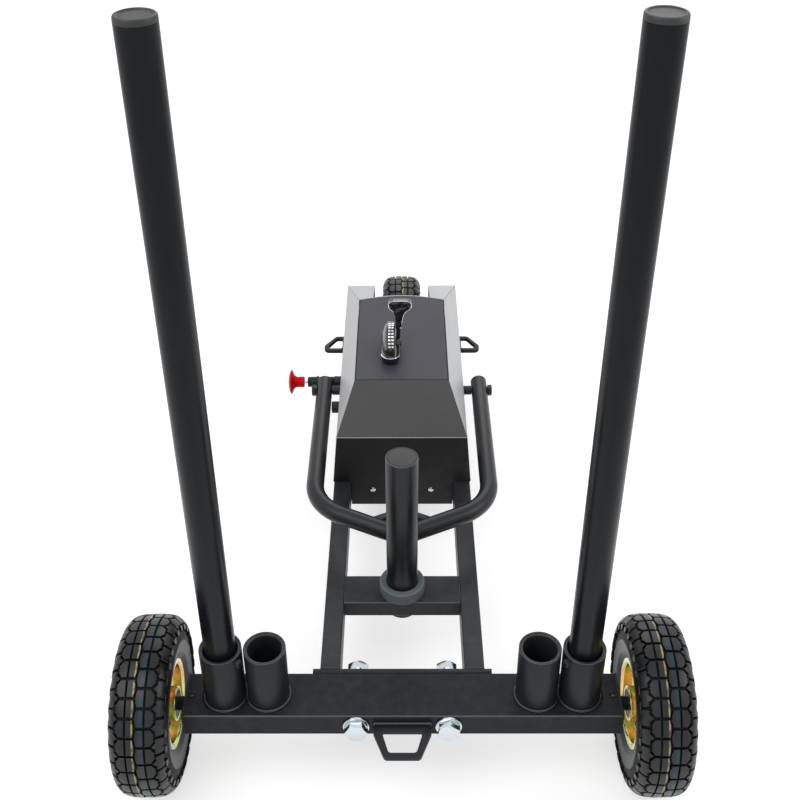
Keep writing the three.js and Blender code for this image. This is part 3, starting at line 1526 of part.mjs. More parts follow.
const cablePassage = moved(
  rod(quadrantBase - cutOverrun, quadrantBase + passageDepth, passageDiameter, 'z', cableSides),
  cableSide,
  0,
  0,
);
const hubSlotHalf = leverHubDiameter * 0.7;
const quadrant = cut(joined([
  pushedAlongX(outline(quadrantPoints), quadrantLow, quadrantHigh),
  block(
    [quadrantLow, -quadrantRadius - quadrantBaseThickness, quadrantBase],
    [leverHigh, quadrantRadius + quadrantBaseThickness, quadrantBaseTop],
  ),
]), [
  screwHole,
  cablePassage,
  block(
    [quadrantHigh, -hubSlotHalf, quadrantBase - cutOverrun],
    [leverHigh + cutOverrun, hubSlotHalf, quadrantBaseTop + cutOverrun],
  ),
]);
const quadrantGroup = groupAt(0, leverPlace, leverAxis);
add('lever_quadrant', quadrant, glossPlastic(), quadrantGroup);

// Lever arm on its pivot screw, flared at its top into the grip
const armHalf = leverArmWidth / 2;
const leverMiddle = (leverLow + leverHigh) / 2;
const gripBase = leverReach - leverGripHeight / 2;
const gripHalfShares = [
  [0.16, -1.5],
  [0.32, -0.8],
  [0.62, -0.2],
  [0.92, 0.15],
  [1, 0.4],
  [1, 0.65],
  [0.88, 0.9],
  [0.7, 1],
];
const gripRight = gripHalfShares.map(([across, rise]) => [
  leverMiddle + (across * leverGripWidth) / 2,
  gripBase + rise * leverGripHeight,
]);
const gripLeft = gripHalfShares.slice().reverse().map(([across, rise]) => [
  leverMiddle - (across * leverGripWidth) / 2,
  gripBase + rise * leverGripHeight,
]);
const gripShape = outline([...gripRight, ...gripLeft]);
const grip = pushedAlongY(gripShape, -leverGripThickness / 2, leverGripThickness / 2);
const leverGroup = groupAt(0, leverPlace, leverAxis);
const leverBody = joined([
  rod(leverLow, leverHigh, leverHubDiameter, 'x', smallSides + 4),
  block([leverLow, -armHalf, 0], [leverHigh, armHalf, gripBase]),
  grip,
  rod(quadrantLow + cutOverrun, leverHigh, leverScrewDiameter, 'x'),
  rod(leverHigh - fitGap, leverHigh + leverScrewHeadHeight, leverScrewHead, 'x'),
]);
add('resistance_lever', leverBody, glossPlastic(), leverGroup);

export default sled;
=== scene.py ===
"""Looks of a three-wheeled push sled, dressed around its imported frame."""

import logging
import math
from contextlib import contextmanager
from dataclasses import dataclass, field
from enum import Enum
from typing import Callable, Iterator, Sequence

import bmesh
import bpy
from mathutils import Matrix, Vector

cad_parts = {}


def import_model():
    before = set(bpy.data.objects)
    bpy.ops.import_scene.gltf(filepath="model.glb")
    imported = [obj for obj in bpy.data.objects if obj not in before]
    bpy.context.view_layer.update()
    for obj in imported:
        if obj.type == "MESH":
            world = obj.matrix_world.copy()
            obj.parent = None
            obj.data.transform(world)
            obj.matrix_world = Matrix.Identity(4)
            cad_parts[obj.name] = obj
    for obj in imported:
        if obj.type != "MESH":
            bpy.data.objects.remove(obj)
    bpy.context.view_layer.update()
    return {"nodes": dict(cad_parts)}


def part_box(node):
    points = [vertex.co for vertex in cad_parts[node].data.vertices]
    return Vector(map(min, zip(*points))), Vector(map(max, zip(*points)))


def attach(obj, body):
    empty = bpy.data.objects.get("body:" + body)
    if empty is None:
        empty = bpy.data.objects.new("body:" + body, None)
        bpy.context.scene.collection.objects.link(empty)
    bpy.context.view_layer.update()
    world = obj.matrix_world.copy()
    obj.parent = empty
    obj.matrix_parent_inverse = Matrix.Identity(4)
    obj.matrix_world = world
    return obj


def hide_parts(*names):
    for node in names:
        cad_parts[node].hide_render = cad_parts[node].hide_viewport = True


log = logging.getLogger("push_sled")

Point = tuple[float, float, float]
Row = tuple[float, float]
Test = Callable[[Vector, Vector], bool]
Piece = bpy.types.Object
Material = bpy.types.Material
Tree = bpy.types.NodeTree
Node = bpy.types.Node
Socket = bpy.types.NodeSocket

# Where the axles are along the sled and above the floor, in metres.
FRONT_AXLE = 0.496
REAR_AXLE = -0.496
AXLE_HEIGHT = 0.128
# Step between the scales of a weld bead, as a share of their radius.
SCALE_STEP = 0.85


class Axis(Enum):
    """The row axis that a round piece is turned around, with the way its radius starts."""

    X = ((1.0, 0.0, 0.0), (0.0, 0.0, 1.0))
    Y = ((0.0, 1.0, 0.0), (0.0, 0.0, 1.0))
    Z = ((0.0, 0.0, 1.0), (1.0, 0.0, 0.0))

    @property
    def along(self) -> Vector:
        """The direction of the axis."""
        return Vector(self.value[0])

    @property
    def across(self) -> Vector:
        """The direction in which a profile's radius is drawn."""
        return Vector(self.value[1])

    @property
    def turn(self) -> tuple[float, float, float]:
        """The turn that stands a cylinder along the axis."""
        return {"X": (0.0, math.pi / 2, 0.0), "Y": (math.pi / 2, 0.0, 0.0), "Z": (0.0, 0.0, 0.0)}[self.name]


class Side(Enum):
    """The side of the sled that one of a pair is on."""

    LEFT = -1
    RIGHT = 1

    @property
    def word(self) -> str:
        """The side's name as the nodes have it."""
        return self.name.lower()


# ---------------------------------------------------------------- modelling


def deselect() -> None:
    """Leaves object mode with nothing selected."""
    if bpy.context.object and bpy.context.object.mode != "OBJECT":
        bpy.ops.object.mode_set(mode="OBJECT")
    bpy.ops.object.select_all(action="DESELECT")


def pick(*pieces: Piece) -> None:
    """Selects pieces alone and makes the first one active."""
    deselect()
    for piece in pieces:
        piece.select_set(True)
    bpy.context.view_layer.objects.active = pieces[0]


@contextmanager
def editing(piece: Piece) -> Iterator[None]:
    """Holds a piece in edit mode with all of it selected at the start."""
    pick(piece)
    bpy.ops.object.mode_set(mode="EDIT")
    bpy.ops.mesh.select_mode(type="VERT")
    bpy.ops.mesh.select_all(action="SELECT")
    try:
        yield
    finally:
        bpy.ops.object.mode_set(mode="OBJECT")


def choose_faces(piece: Piece, test: Test) -> None:
    """Selects the faces, in edit mode, whose middle and normal pass a test."""
    bpy.ops.mesh.select_mode(type="FACE")
    bpy.ops.mesh.select_all(action="DESELECT")
    sheet = bmesh.from_edit_mesh(piece.data)
    for face in sheet.faces:
        if test(face.calc_center_median(), face.normal):
            face.select_set(True)
    bmesh.update_edit_mesh(piece.data)


def choose_edges(piece: Piece, test: Test) -> None:
    """Selects the edges, in edit mode, whose middle and direction pass a test."""
    bpy.ops.mesh.select_mode(type="EDGE")
    bpy.ops.mesh.select_all(action="DESELECT")
    sheet = bmesh.from_edit_mesh(piece.data)
    for edge in sheet.edges:
        low, high = (vert.co for vert in edge.verts)
        if test((low + high) / 2, (high - low).normalized()):
            edge.select_set(True)
    bmesh.update_edit_mesh(piece.data)


def settle(piece: Piece) -> Piece:
    """Puts a piece's place, turn and size into its mesh."""
    pick(piece)
    bpy.ops.object.transform_apply(location=True, rotation=True, scale=True)
    return piece


def apply_modifier(piece: Piece, kind: str, **values: object) -> Piece:
    """Adds a modifier with the given values and applies it."""
    pick(piece)
    bpy.ops.object.modifier_add(type=kind)
    modifier = piece.modifiers[-1]
    for name, value in values.items():
        setattr(modifier, name, value)
    bpy.ops.object.modifier_apply(modifier=modifier.name)
    return piece


def softened(piece: Piece, width: float, segments: int = 3, angle: float = 32.0) -> Piece:
    """Rounds a piece's sharp edges and shades it smooth across the small ones.

    Args:
        piece: the piece to round.
        width: how far each bevel reaches from its edge.
        segments: faces across each bevel.
        angle: the least angle, in degrees, of an edge that is rounded.

    Returns:
        The piece.
    """
    apply_modifier(piece, "BEVEL", width=width, segments=segments, limit_method="ANGLE",
                   angle_limit=math.radians(angle), use_clamp_overlap=True)
    return smooth(piece, angle)


def smooth(piece: Piece, angle: float = 32.0) -> Piece:
    """Shades a piece smooth, except across edges sharper than an angle in degrees."""
    pick(piece)
    bpy.ops.object.shade_smooth_by_angle(angle=math.radians(angle))
    return piece


def evened(piece: Piece) -> Piece:
    """Lets the large flat faces set the shading where small ones meet them."""
    return apply_modifier(piece, "WEIGHTED_NORMAL", weight=100, keep_sharp=True)


def joined(name: str, pieces: Sequence[Piece]) -> Piece:
    """Joins pieces into one object with a new name."""
    pick(*pieces)
    if len(pieces) > 1:
        bpy.ops.object.join()
    pieces[0].name = name
    return pieces[0]


def copied(piece: Piece, move: Point = (0.0, 0.0, 0.0)) -> Piece:
    """Copies a piece with its own mesh and moves the copy."""
    pick(piece)
    bpy.ops.object.duplicate(linked=False)
    twin = bpy.context.object
    twin.location = Vector(twin.location) + Vector(move)
    return settle(twin)


def mirrored(piece: Piece) -> Piece:
    """Copies a piece to the other side of the sled, with its faces still outward."""
    twin = copied(piece)
    twin.scale = (-1.0, 1.0, 1.0)
    settle(twin)
    with editing(twin):
        bpy.ops.mesh.normals_make_consistent(inside=False)
    return twin


def block(name: str, low: Point, high: Point, bevel: float = 0.0, segments: int = 3) -> Piece:
    """Makes a block between two corners, with its edges rounded.

    Args:
        name: the new object's name.
        low: the lowest corner.
        high: the highest corner.
        bevel: how far each rounding reaches.
        segments: faces across each rounding.

    Returns:
        The block.
    """
    deselect()
    middle = (Vector(low) + Vector(high)) / 2
    bpy.ops.mesh.primitive_cube_add(size=1, location=middle, scale=Vector(high) - Vector(low))
    piece = bpy.context.object
    piece.name = name
    settle(piece)
    return softened(piece, bevel, segments) if bevel > 0 else piece


def box_tube(name: str, low: Point, high: Point, axis: Axis, corner: float, wall: float) -> Piece:
    """Makes an open box tube with rounded long corners.

    Args:
        name: the new object's name.
        low: the lowest corner.
        high: the highest corner.
        axis: the way that the tube runs.
        corner: radius of the long corners.
        wall: thickness of the wall.

    Returns:
        The tube.
    """
    piece = block(name, low, high)
    with editing(piece):
        choose_edges(piece, lambda middle, way: abs(way.dot(axis.along)) > 0.99)
        bpy.ops.mesh.bevel(offset=corner, segments=5, affect="EDGES")
        choose_faces(piece, lambda middle, normal: abs(normal.dot(axis.along)) > 0.99)
        bpy.ops.mesh.delete(type="FACE")
    apply_modifier(piece, "SOLIDIFY", thickness=wall, offset=-1)
    return evened(smooth(piece))


def traced(name: str, points: Sequence[Vector], closed: bool) -> Piece:
    """Draws a line of edges through points, one extrusion at a time.

    Args:
        name: the new object's name.
        points: where the line goes.
        closed: whether the last point joins the first.

    Returns:
        The line.
    """
    deselect()
    bpy.ops.mesh.primitive_plane_add(size=0.001, location=points[0])
    line = bpy.context.object
    line.name = name
    route = [*points, points[0]] if closed else list(points)
    with editing(line):
        bpy.ops.mesh.merge(type="CENTER")
        for here, there in zip(route, route[1:]):
            step = Vector(there) - Vector(here)
            bpy.ops.mesh.extrude_vertices_move(TRANSFORM_OT_translate={"value": step})
        bpy.ops.mesh.select_all(action="SELECT")
        bpy.ops.mesh.remove_doubles(threshold=1e-6)
    return settle(line)


def turned(
    name: str,
    rows: Sequence[Row],
    centre: Point,
    axis: Axis,
    steps: int = 72,
    closed: bool = True,
    bevel: float = 0.0,
) -> Piece:
    """Turns a profile around an axis, as on a lathe.

    Args:
        name: the new object's name.
        rows: pairs of place along the axis and radius.
        centre: the point that the places are counted from.
        axis: the axis to turn around.
        steps: faces around the piece.
        closed: whether the last row joins the first.
        bevel: how far the rounding of each sharp edge reaches.

    Returns:
        The turned piece.
    """
    middle = Vector(centre)
    points = [middle + axis.along * along + axis.across * radius for along, radius in rows]
    piece = traced(name, points, closed)
    with editing(piece):
        bpy.ops.mesh.spin(steps=steps, angle=math.tau, center=middle, axis=axis.along)
        bpy.ops.mesh.select_all(action="SELECT")
        bpy.ops.mesh.remove_doubles(threshold=1e-6)
        bpy.ops.mesh.normals_make_consistent(inside=False)
    return softened(piece, bevel, 3, 28.0) if bevel > 0 else smooth(piece)


def cut_plate(
    name: str,
    outlines: Sequence[Sequence[Point]],
    thickness: Point,
    bevel: float = 0.0,
) -> Piece:
    """Cuts a plate from an outline and its holes.

    Args:
        name: the new object's name.
        outlines: the outer line first, then one for each hole, all in one plane.
        thickness: how far, and which way, the plate is pushed out of that plane.
        bevel: how far the rounding of each sharp edge reaches.

    Returns:
        The plate.
    """
    lines = [traced(name, [Vector(point) for point in line], True) for line in outlines]
    piece = joined(name, lines)
    with editing(piece):
        bpy.ops.mesh.fill(use_beauty=True)
        bpy.ops.mesh.select_all(action="SELECT")
        bpy.ops.mesh.extrude_region_move(TRANSFORM_OT_translate={"value": Vector(thickness)})
        bpy.ops.mesh.select_all(action="SELECT")
        bpy.ops.mesh.normals_make_consistent(inside=False)
        bpy.ops.mesh.dissolve_limited(angle_limit=math.radians(0.5))
    return softened(piece, bevel, 3) if bevel > 0 else smooth(piece)


def flat_plate(name: str, outlines: Sequence[Sequence[Row]], bottom: float, top: float, bevel: float = 0.0) -> Piece:
    """Cuts a level plate from a flat outline and its holes.

    Args:
        name: the new object's name.
        outlines: the outer line first, then one for each hole.
        bottom: height of its lower side.
        top: height of its upper side.
        bevel: how far the rounding of each sharp edge reaches.

    Returns:
        The plate.
    """
    level = [[(x, y, bottom) for x, y in line] for line in outlines]
    return cut_plate(name, level, (0.0, 0.0, top - bottom), bevel)


def corner_arc(before: Vector, here: Vector, after: Vector, radius: float) -> tuple[Vector, Vector, Vector]:
    """Finds the arc that rounds the corner between two straight runs.

    Args:
        before: the point before the corner.
        here: the corner.
        after: the point after it.
        radius: the arc's radius.

    Returns:
        The arc's middle, and the arms from there to its two ends.
    """
    back, ahead = (before - here).normalized(), (after - here).normalized()
    half = math.acos(max(-1.0, min(1.0, back.dot(ahead)))) / 2
    centre = here + (back + ahead).normalized() * radius / math.sin(half)
    start, end = (here + way * radius / math.tan(half) - centre for way in (back, ahead))
    return centre, start, end


def rounded_outline(corners: Sequence[Row], radii: Sequence[float], steps: int = 6) -> list[Row]:
    """Rounds the corners of a closed flat outline.

    Args:
        corners: the corner points in order.
        radii: one radius for each corner.
        steps: segments in each rounded corner.

    Returns:
        The points of the rounded outline.
    """
    points: list[Row] = []
    spots = [Vector(corner) for corner in corners]
    for before, here, after, radius in zip([spots[-1], *spots], spots, [*spots[1:], spots[0]], radii):
        if radius <= 0:
            points.append((here.x, here.y))
            continue
        centre, start, end = corner_arc(before, here, after, radius)
        for step in range(steps + 1):
            spot = start.lerp(end, step / steps).normalized() * radius + centre
            points.append((spot.x, spot.y))
    return points


def hexagon(name: str, centre: Point, axis: Axis, across: float, height: float, top: int = 1) -> Piece:
    """Makes a hexagon head or nut, chamfered as when turned from bar.

    Args:
        name: the new object's name.
        centre: the middle of the piece.
        axis: the bolt's axis.
        across: distance across the flats.
        height: distance between the end faces.
        top: 1 or -1 for the end whose corners are turned off, or 0 for both.

    Returns:
        The hexagon.
    """
    deselect()
    corner, flat, end = across / math.sqrt(3), across * 0.47, height / 2 + 1e-5
    bpy.ops.mesh.primitive_cylinder_add(vertices=6, radius=corner, depth=height, location=centre,
                                        rotation=axis.turn)
    piece = settle(bpy.context.object)
    slope = (corner - flat) * 0.62
    rows = [(-height, 0.0), (-height, corner * 1.1), (height, corner * 1.1), (height, 0.0)]
    if top >= 0:
        rows[2:] = [(height / 2 - slope, corner * 1.02), (end, flat), (end, 0.0)]
    if top <= 0:
        rows[:2] = [(-end, 0.0), (-end, flat), (-height / 2 + slope, corner * 1.02)]
    lathe = turned("hexagon_lathe", rows, centre, axis, 48, False)
    apply_modifier(piece, "BOOLEAN", operation="INTERSECT", object=lathe, solver="EXACT")
    bpy.data.objects.remove(lathe)
    piece.name = name
    return softened(piece, 0.0003, 2)


def tube_on_path(
    name: str,
    points: Sequence[Vector],
    diameter: float,
    sides: int = 24,
    caps: bool = True,
) -> Piece:
    """Bends a round tube along a path and makes it a mesh.

    Args:
        name: the new object's name.
        points: the path of its middle line.
        diameter: the tube's outer diameter.
        sides: faces around the tube.
        caps: whether its ends are filled.

    Returns:
        The tube.
    """
    line = bpy.data.curves.new(name, "CURVE")
    line.dimensions = "3D"
    line.bevel_depth = diameter / 2
    line.bevel_resolution = max(0, sides // 4 - 1)
    line.use_fill_caps = caps
    spline = line.splines.new("POLY")
    spline.points.add(len(points) - 1)
    for knot, point in zip(spline.points, points):
        knot.co = (*point, 1.0)
    piece = bpy.data.objects.new(name, line)
    bpy.context.scene.collection.objects.link(piece)
    pick(piece)
    bpy.ops.object.convert(target="MESH")
    piece = bpy.context.object
    with editing(piece):
        bpy.ops.mesh.remove_doubles(threshold=1e-6)
        bpy.ops.mesh.normals_make_consistent(inside=False)
    return smooth(piece, 40)


def arc_path(corners: Sequence[Vector], radii: Sequence[float], steps: int = 14) -> list[Vector]:
    """Rounds the inner corners of an open path.

    Args:
        corners: the path's corner points, with its two ends.
        radii: one bend radius for each inner corner.
        steps: segments in each bend.

    Returns:
        The points of the rounded path.
    """
    path = [corners[0]]
    for before, here, after, radius in zip(corners, corners[1:], corners[2:], radii):
        centre, start, end = corner_arc(before, here, after, radius)
        sweep = start.angle(end)
        for step in range(steps + 1):
            share = step / steps
            mixed = start * math.sin((1 - share) * sweep) + end * math.sin(share * sweep)
            path.append(centre + mixed / math.sin(sweep))
    return [*path, corners[-1]]


def weld_scale(name: str, size: float, place: Vector) -> Piece:
    """Makes the first scale of a weld bead."""
    deselect()
    bpy.ops.mesh.primitive_uv_sphere_add(segments=10, ring_count=6, radius=size, location=place)
    piece = settle(bpy.context.object)
    piece.name = name
    return piece


def weld_ring(name: str, centre: Point, radius: float, size: float, axis: Axis = Axis.Z) -> Piece:
    """Lays a weld bead of overlapping scales around a round tube.

    Args:
        name: the new object's name.
        centre: the middle of the ring.
        radius: distance from the middle to the bead.
        size: the bead's radius.
        axis: the tube's axis.

    Returns:
        The bead.
    """
    piece = weld_scale(name, size, Vector(centre) + axis.across * radius)
    count = max(12, round(math.tau * radius / (size * SCALE_STEP)))
    with editing(piece):
        bpy.ops.mesh.spin(steps=count - 1, dupli=True, angle=math.tau * (count - 1) / count,
                          center=Vector(centre), axis=axis.along)
    return smooth(piece, 60)


def weld_line(name: str, start: Point, end: Point, size: float) -> Piece:
    """Lays a straight weld bead of overlapping scales.

    Args:
        name: the new object's name.
        start: one end of the bead.
        end: the other end.
        size: the bead's radius.

    Returns:
        The bead.
    """
    run = Vector(end) - Vector(start)
    count = max(2, round(run.length / (size * SCALE_STEP)))
    piece = weld_scale(name, size, Vector(start))
    apply_modifier(piece, "ARRAY", count=count, use_relative_offset=False, use_constant_offset=True,
                   constant_offset_displace=run / (count - 1))
    return smooth(piece, 60)


def sheet_copy(node: Piece, name: str, edge: float) -> Piece:
    """Copies a CAD sheet part, merges its loose triangles and rounds its edges.

    Args:
        node: the CAD node's object.
        name: the copy's name.
        edge: how far the rounding of each edge reaches.

    Returns:
        The copy.
    """
    pick(node)
    bpy.ops.object.duplicate(linked=False)
    piece = bpy.context.object
    piece.parent = None
    for key in list(piece.keys()):
        if key.startswith("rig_"):
            del piece[key]
    piece.name = name
    piece.data.materials.clear()
    with editing(piece):
        bpy.ops.mesh.remove_doubles(threshold=2e-6)
        bpy.ops.mesh.dissolve_limited(angle_limit=math.radians(0.4))
    return evened(softened(piece, edge, 3, 20.0))


# ---------------------------------------------------------------- finishes


def add_node(tree: Tree, kind: str, operation: str = "", **inputs: object) -> Node:
    """Adds a node to a tree and sets its operation and its named inputs."""
    made = tree.nodes.new(kind)
    if operation:
        made.operation = operation
    for label, value in inputs.items():
        made.inputs[label.replace("_", " ")].default_value = value
    return made


def add_mix(tree: Tree) -> Node:
    """Adds a node that mixes the colours at inputs 6 and 7 into output 2."""
    made = tree.nodes.new("ShaderNodeMix")
    made.data_type = "RGBA"
    return made


def wire(tree: Tree, *links: tuple[Node, str | int, Node, str | int]) -> None:
    """Links nodes, each row with a node and its output, then a node and its input."""
    for source, output, target, entry in links:
        tree.links.new(source.outputs[output], target.inputs[entry])


def grouped(
    name: str, inputs: Sequence[tuple[str, str, object]], outputs: Sequence[tuple[str, str]]
) -> tuple[Tree, Node, Node]:
    """Starts a shader node group.

    Args:
        name: the group's name.
        inputs: each input's name, socket type and default.
        outputs: each output's name and socket type.

    Returns:
        The group's tree, its input node and its output node.
    """
    tree = bpy.data.node_groups.new(name, "ShaderNodeTree")
    for label, kind, default in inputs:
        socket = tree.interface.new_socket(name=label, in_out="INPUT", socket_type=kind)
        if default is not None:
            socket.default_value = default
    for label, kind in outputs:
        tree.interface.new_socket(name=label, in_out="OUTPUT", socket_type=kind)
    return tree, tree.nodes.new("NodeGroupInput"), tree.nodes.new("NodeGroupOutput")


class Effects:
    """The shader node groups that several finishes share, each built once."""

    def __init__(self) -> None:
        """Builds every group."""
        self.grain = self._grain()
        self.wear = self._wear()
        self.dust = self._dust()

    def _grain(self) -> Tree:
        """Fine coat grain: a height for bump, and a slow mottle."""
        tree, start, end = grouped(
            "coat_grain",
            [("Vector", "NodeSocketVector", None), ("Scale", "NodeSocketFloat", 900.0),
             ("Mottle Scale", "NodeSocketFloat", 14.0)],
            [("Height", "NodeSocketFloat"), ("Mottle", "NodeSocketFloat")],
        )
        fine = add_node(tree, "ShaderNodeTexNoise", Detail=3.0)
        slow = add_node(tree, "ShaderNodeTexNoise", Detail=4.0)
        wire(tree, (start, "Vector", fine, "Vector"), (start, "Scale", fine, "Scale"),
             (start, "Vector", slow, "Vector"), (start, "Mottle Scale", slow, "Scale"),
             (fine, "Fac", end, "Height"), (slow, "Fac", end, "Mottle"))
        return tree

    def _patchy(self, name: str, over: str, amount: float, noise: Row, span: Row) -> tuple[Tree, Node]:
        """Starts a group that lays a second colour over the first, in patches.

        Args:
            name: the group's name.
            over: name of the second colour's input.
            amount: default strength of the second colour.
            noise: scale and detail of the patches.
            span: values between which the second colour comes in.

        Returns:
            The group's tree, and the node whose Value still has to be linked.
        """
        tree, start, end = grouped(
            name,
            [("Color", "NodeSocketColor", None), (over, "NodeSocketColor", None),
             ("Amount", "NodeSocketFloat", amount), ("Vector", "NodeSocketVector", None)],
            [("Color", "NodeSocketColor")],
        )
        ramp = add_node(tree, "ShaderNodeMapRange", From_Min=span[0], From_Max=span[1])
        patches = add_node(tree, "ShaderNodeTexNoise", Scale=noise[0], Detail=noise[1])
        strength = add_node(tree, "ShaderNodeMath", "MULTIPLY")
        mask = add_node(tree, "ShaderNodeMath", "MULTIPLY")
        mix = add_mix(tree)
        wire(tree, (start, "Vector", patches, "Vector"), (patches, "Fac", strength, 0),
             (start, "Amount", strength, 1), (ramp, "Result", mask, 0), (strength, "Value", mask, 1),
             (mask, "Value", mix, "Factor"), (start, "Color", mix, 6), (start, over, mix, 7),
             (mix, 2, end, "Color"))
        return tree, ramp

    def _wear(self) -> Tree:
        """Edge wear and painted edge highlight: a lighter colour where the surface turns sharply outward."""
        tree, ramp = self._patchy("edge_wear", "Edge Color", 0.2, (60.0, 5.0), (0.53, 0.62))
        wire(tree, (add_node(tree, "ShaderNodeNewGeometry"), "Pointiness", ramp, "Value"))
        return tree

    def _dust(self) -> Tree:
        """Settled dust: a pale veil on what faces up."""
        tree, ramp = self._patchy("settled_dust", "Dust Color", 0.05, (30.0, 6.0), (0.4, 1.0))
        split = add_node(tree, "ShaderNodeSeparateXYZ")
        wire(tree, (add_node(tree, "ShaderNodeNewGeometry"), "Normal", split, "Vector"),
             (split, "Z", ramp, "Value"))
        return tree


@dataclass
class Shading:
    """A material under construction: its tree, shader, object coordinates and effects."""

    name: str
    effects: Effects
    material: Material = field(init=False)

    def __post_init__(self) -> None:
        """Makes the material with its shader and coordinates."""
        self.material = bpy.data.materials.new(self.name)
        self.material.use_nodes = True
        self.tree = self.material.node_tree
        self.shader = self.tree.nodes["Principled BSDF"]
        self.place = self.tree.nodes.new("ShaderNodeTexCoord")

    def node(self, kind: str, operation: str = "", **inputs: object) -> Node:
        """Adds a node and sets its operation and its named inputs."""
        return add_node(self.tree, kind, operation, **inputs)

    def placed(self, node: Node) -> Node:
        """Gives a node the object coordinates."""
        self.link(self.place.outputs["Object"], node.inputs["Vector"])
        return node

    def group(self, tree: Tree) -> Node:
        """Adds a shared effect that reads object coordinates."""
        made = self.tree.nodes.new("ShaderNodeGroup")
        made.node_tree = tree
        return self.placed(made)

    def link(self, source: Socket, target: Socket) -> None:
        """Links two sockets."""
        self.tree.links.new(source, target)

    def plain(self, **values: object) -> None:
        """Sets values that are the same all over on the shader's own sockets."""
        for label, value in values.items():
            self.shader.inputs[label.replace("_", " ")].default_value = value

    def blend(self, factor: Socket, first: object, second: object) -> Socket:
        """Mixes two colours, each a value or a socket, and returns the result."""
        mix = add_mix(self.tree)
        self.link(factor, mix.inputs["Factor"])
        for index, colour in ((6, first), (7, second)):
            if isinstance(colour, Socket):
                self.link(colour, mix.inputs[index])
            else:
                mix.inputs[index].default_value = (*colour, 1.0)
        return mix.outputs[2]

    def reckon(self, operation: str, first: Socket, second: object = 0.0) -> Socket:
        """Reckons with a socket and a second one, or a number, and returns the result."""
        made = self.node("ShaderNodeMath", operation)
        self.link(first, made.inputs[0])
        if isinstance(second, Socket):
            self.link(second, made.inputs[1])
        else:
            made.inputs[1].default_value = second
        return made.outputs["Value"]

    def span(self, value: Socket, low: float, high: float, to_low: float, to_high: float) -> Socket:
        """Maps a value from one range to another, clamped, and returns the result."""
        ramp = self.node("ShaderNodeMapRange", From_Min=low, From_Max=high, To_Min=to_low, To_Max=to_high)
        self.link(value, ramp.inputs["Value"])
        return ramp.outputs["Result"]

    def bump(self, height: Socket, strength: float, distance: float) -> None:
        """Feeds a height through a bump to the shader's normal."""
        made = self.node("ShaderNodeBump", Strength=strength, Distance=distance)
        self.link(height, made.inputs["Height"])
        self.link(made.outputs["Normal"], self.shader.inputs["Normal"])


# Height of the coats' grain in metres, and the colour of dust.
GRAIN_DEPTH = 0.00012
DUST_COLOUR = (0.42, 0.4, 0.37)


@dataclass(frozen=True)
class Coat:
    """A sprayed or moulded finish with grain, slow mottle, edge wear with painted edge highlight, and dust."""

    name: str
    slot: str
    colour: Point
    roughness: float
    grain_scale: float = 900.0
    grain_strength: float = 0.25
    mottle: float = 0.12
    # Colour and strength of the lighter edges, part wear and part painted highlight.
    edge_colour: Point = (0.12, 0.12, 0.125)
    edge_amount: float = 0.25
    dust: float = 0.03
    specular: float = 0.5
    coat: float = 0.0

    def material(self, effects: Effects) -> Material:
        """Builds the finish's material."""
        shading = Shading(self.name, effects)
        shader = shading.shader.inputs
        grain = shading.group(effects.grain)
        grain.inputs["Scale"].default_value = self.grain_scale
        mottle = shading.span(grain.outputs["Mottle"], 0.3, 0.7, 0.0, 1.0)
        darker = tuple(channel * (1 - self.mottle) for channel in self.colour)
        lighter = tuple(channel * (1 + self.mottle) for channel in self.colour)
        colour = shading.blend(mottle, darker, lighter)
        # Lighter edges, part wear and part painted highlight, then dust over all.
        for effect, amount, label, over in ((effects.wear, self.edge_amount, "Edge Color", self.edge_colour),
                                            (effects.dust, self.dust, "Dust Color", DUST_COLOUR)):
            veil = shading.group(effect)
            veil.inputs["Amount"].default_value = amount
            veil.inputs[label].default_value = (*over, 1.0)
            shading.link(colour, veil.inputs["Color"])
            colour = veil.outputs["Color"]
        shading.link(colour, shader["Base Color"])
        rough = shading.span(grain.outputs["Mottle"], 0.3, 0.7, self.roughness - 0.04, self.roughness + 0.05)
        shading.link(rough, shader["Roughness"])
        shading.bump(grain.outputs["Height"], self.grain_strength, GRAIN_DEPTH)
        shading.plain(Metallic=0.0, Specular_IOR_Level=self.specular, Coat_Weight=self.coat,
                      Coat_Roughness=0.08)
        return shading.material


@dataclass(frozen=True)
class Plated:
    """A plated or bare metal with faint brushing and a shift of tint."""

    name: str
    slot: str
    tints: tuple[Point, ...]
    roughness: float
    tint_scale: float = 9.0
    brush: float = 0.1
    stretch: Point = (1.0, 1.0, 1.0)

    def material(self, effects: Effects) -> Material:
        """Builds the finish's material."""
        shading = Shading(self.name, effects)
        shader = shading.shader.inputs
        slow = shading.placed(shading.node("ShaderNodeTexNoise", Scale=self.tint_scale, Detail=2.0, Distortion=0.6))
        ramp = shading.node("ShaderNodeValToRGB")
        bands = ramp.color_ramp.elements
        spread = max(1, len(self.tints) - 1)
        for index, tint in enumerate(self.tints):
            spot = 0.32 + 0.36 * index / spread
            band = bands[index] if index < 2 else bands.new(spot)
            band.position = spot
            band.color = (*tint, 1.0)
        shading.link(slow.outputs["Fac"], ramp.inputs["Fac"])
        shading.link(ramp.outputs["Color"], shader["Base Color"])
        shape = shading.placed(shading.node("ShaderNodeMapping", Scale=self.stretch))
        fine = shading.node("ShaderNodeTexNoise", Scale=420.0, Detail=4.0)
        shading.link(shape.outputs["Vector"], fine.inputs["Vector"])
        rough = shading.span(fine.outputs["Fac"], 0.3, 0.7, max(0.03, self.roughness - self.brush / 2),
                             self.roughness + self.brush / 2)
        shading.link(rough, shader["Roughness"])
        shading.bump(fine.outputs["Fac"], 0.12, 0.00005)
        shading.plain(Metallic=1.0)
        return shading.material


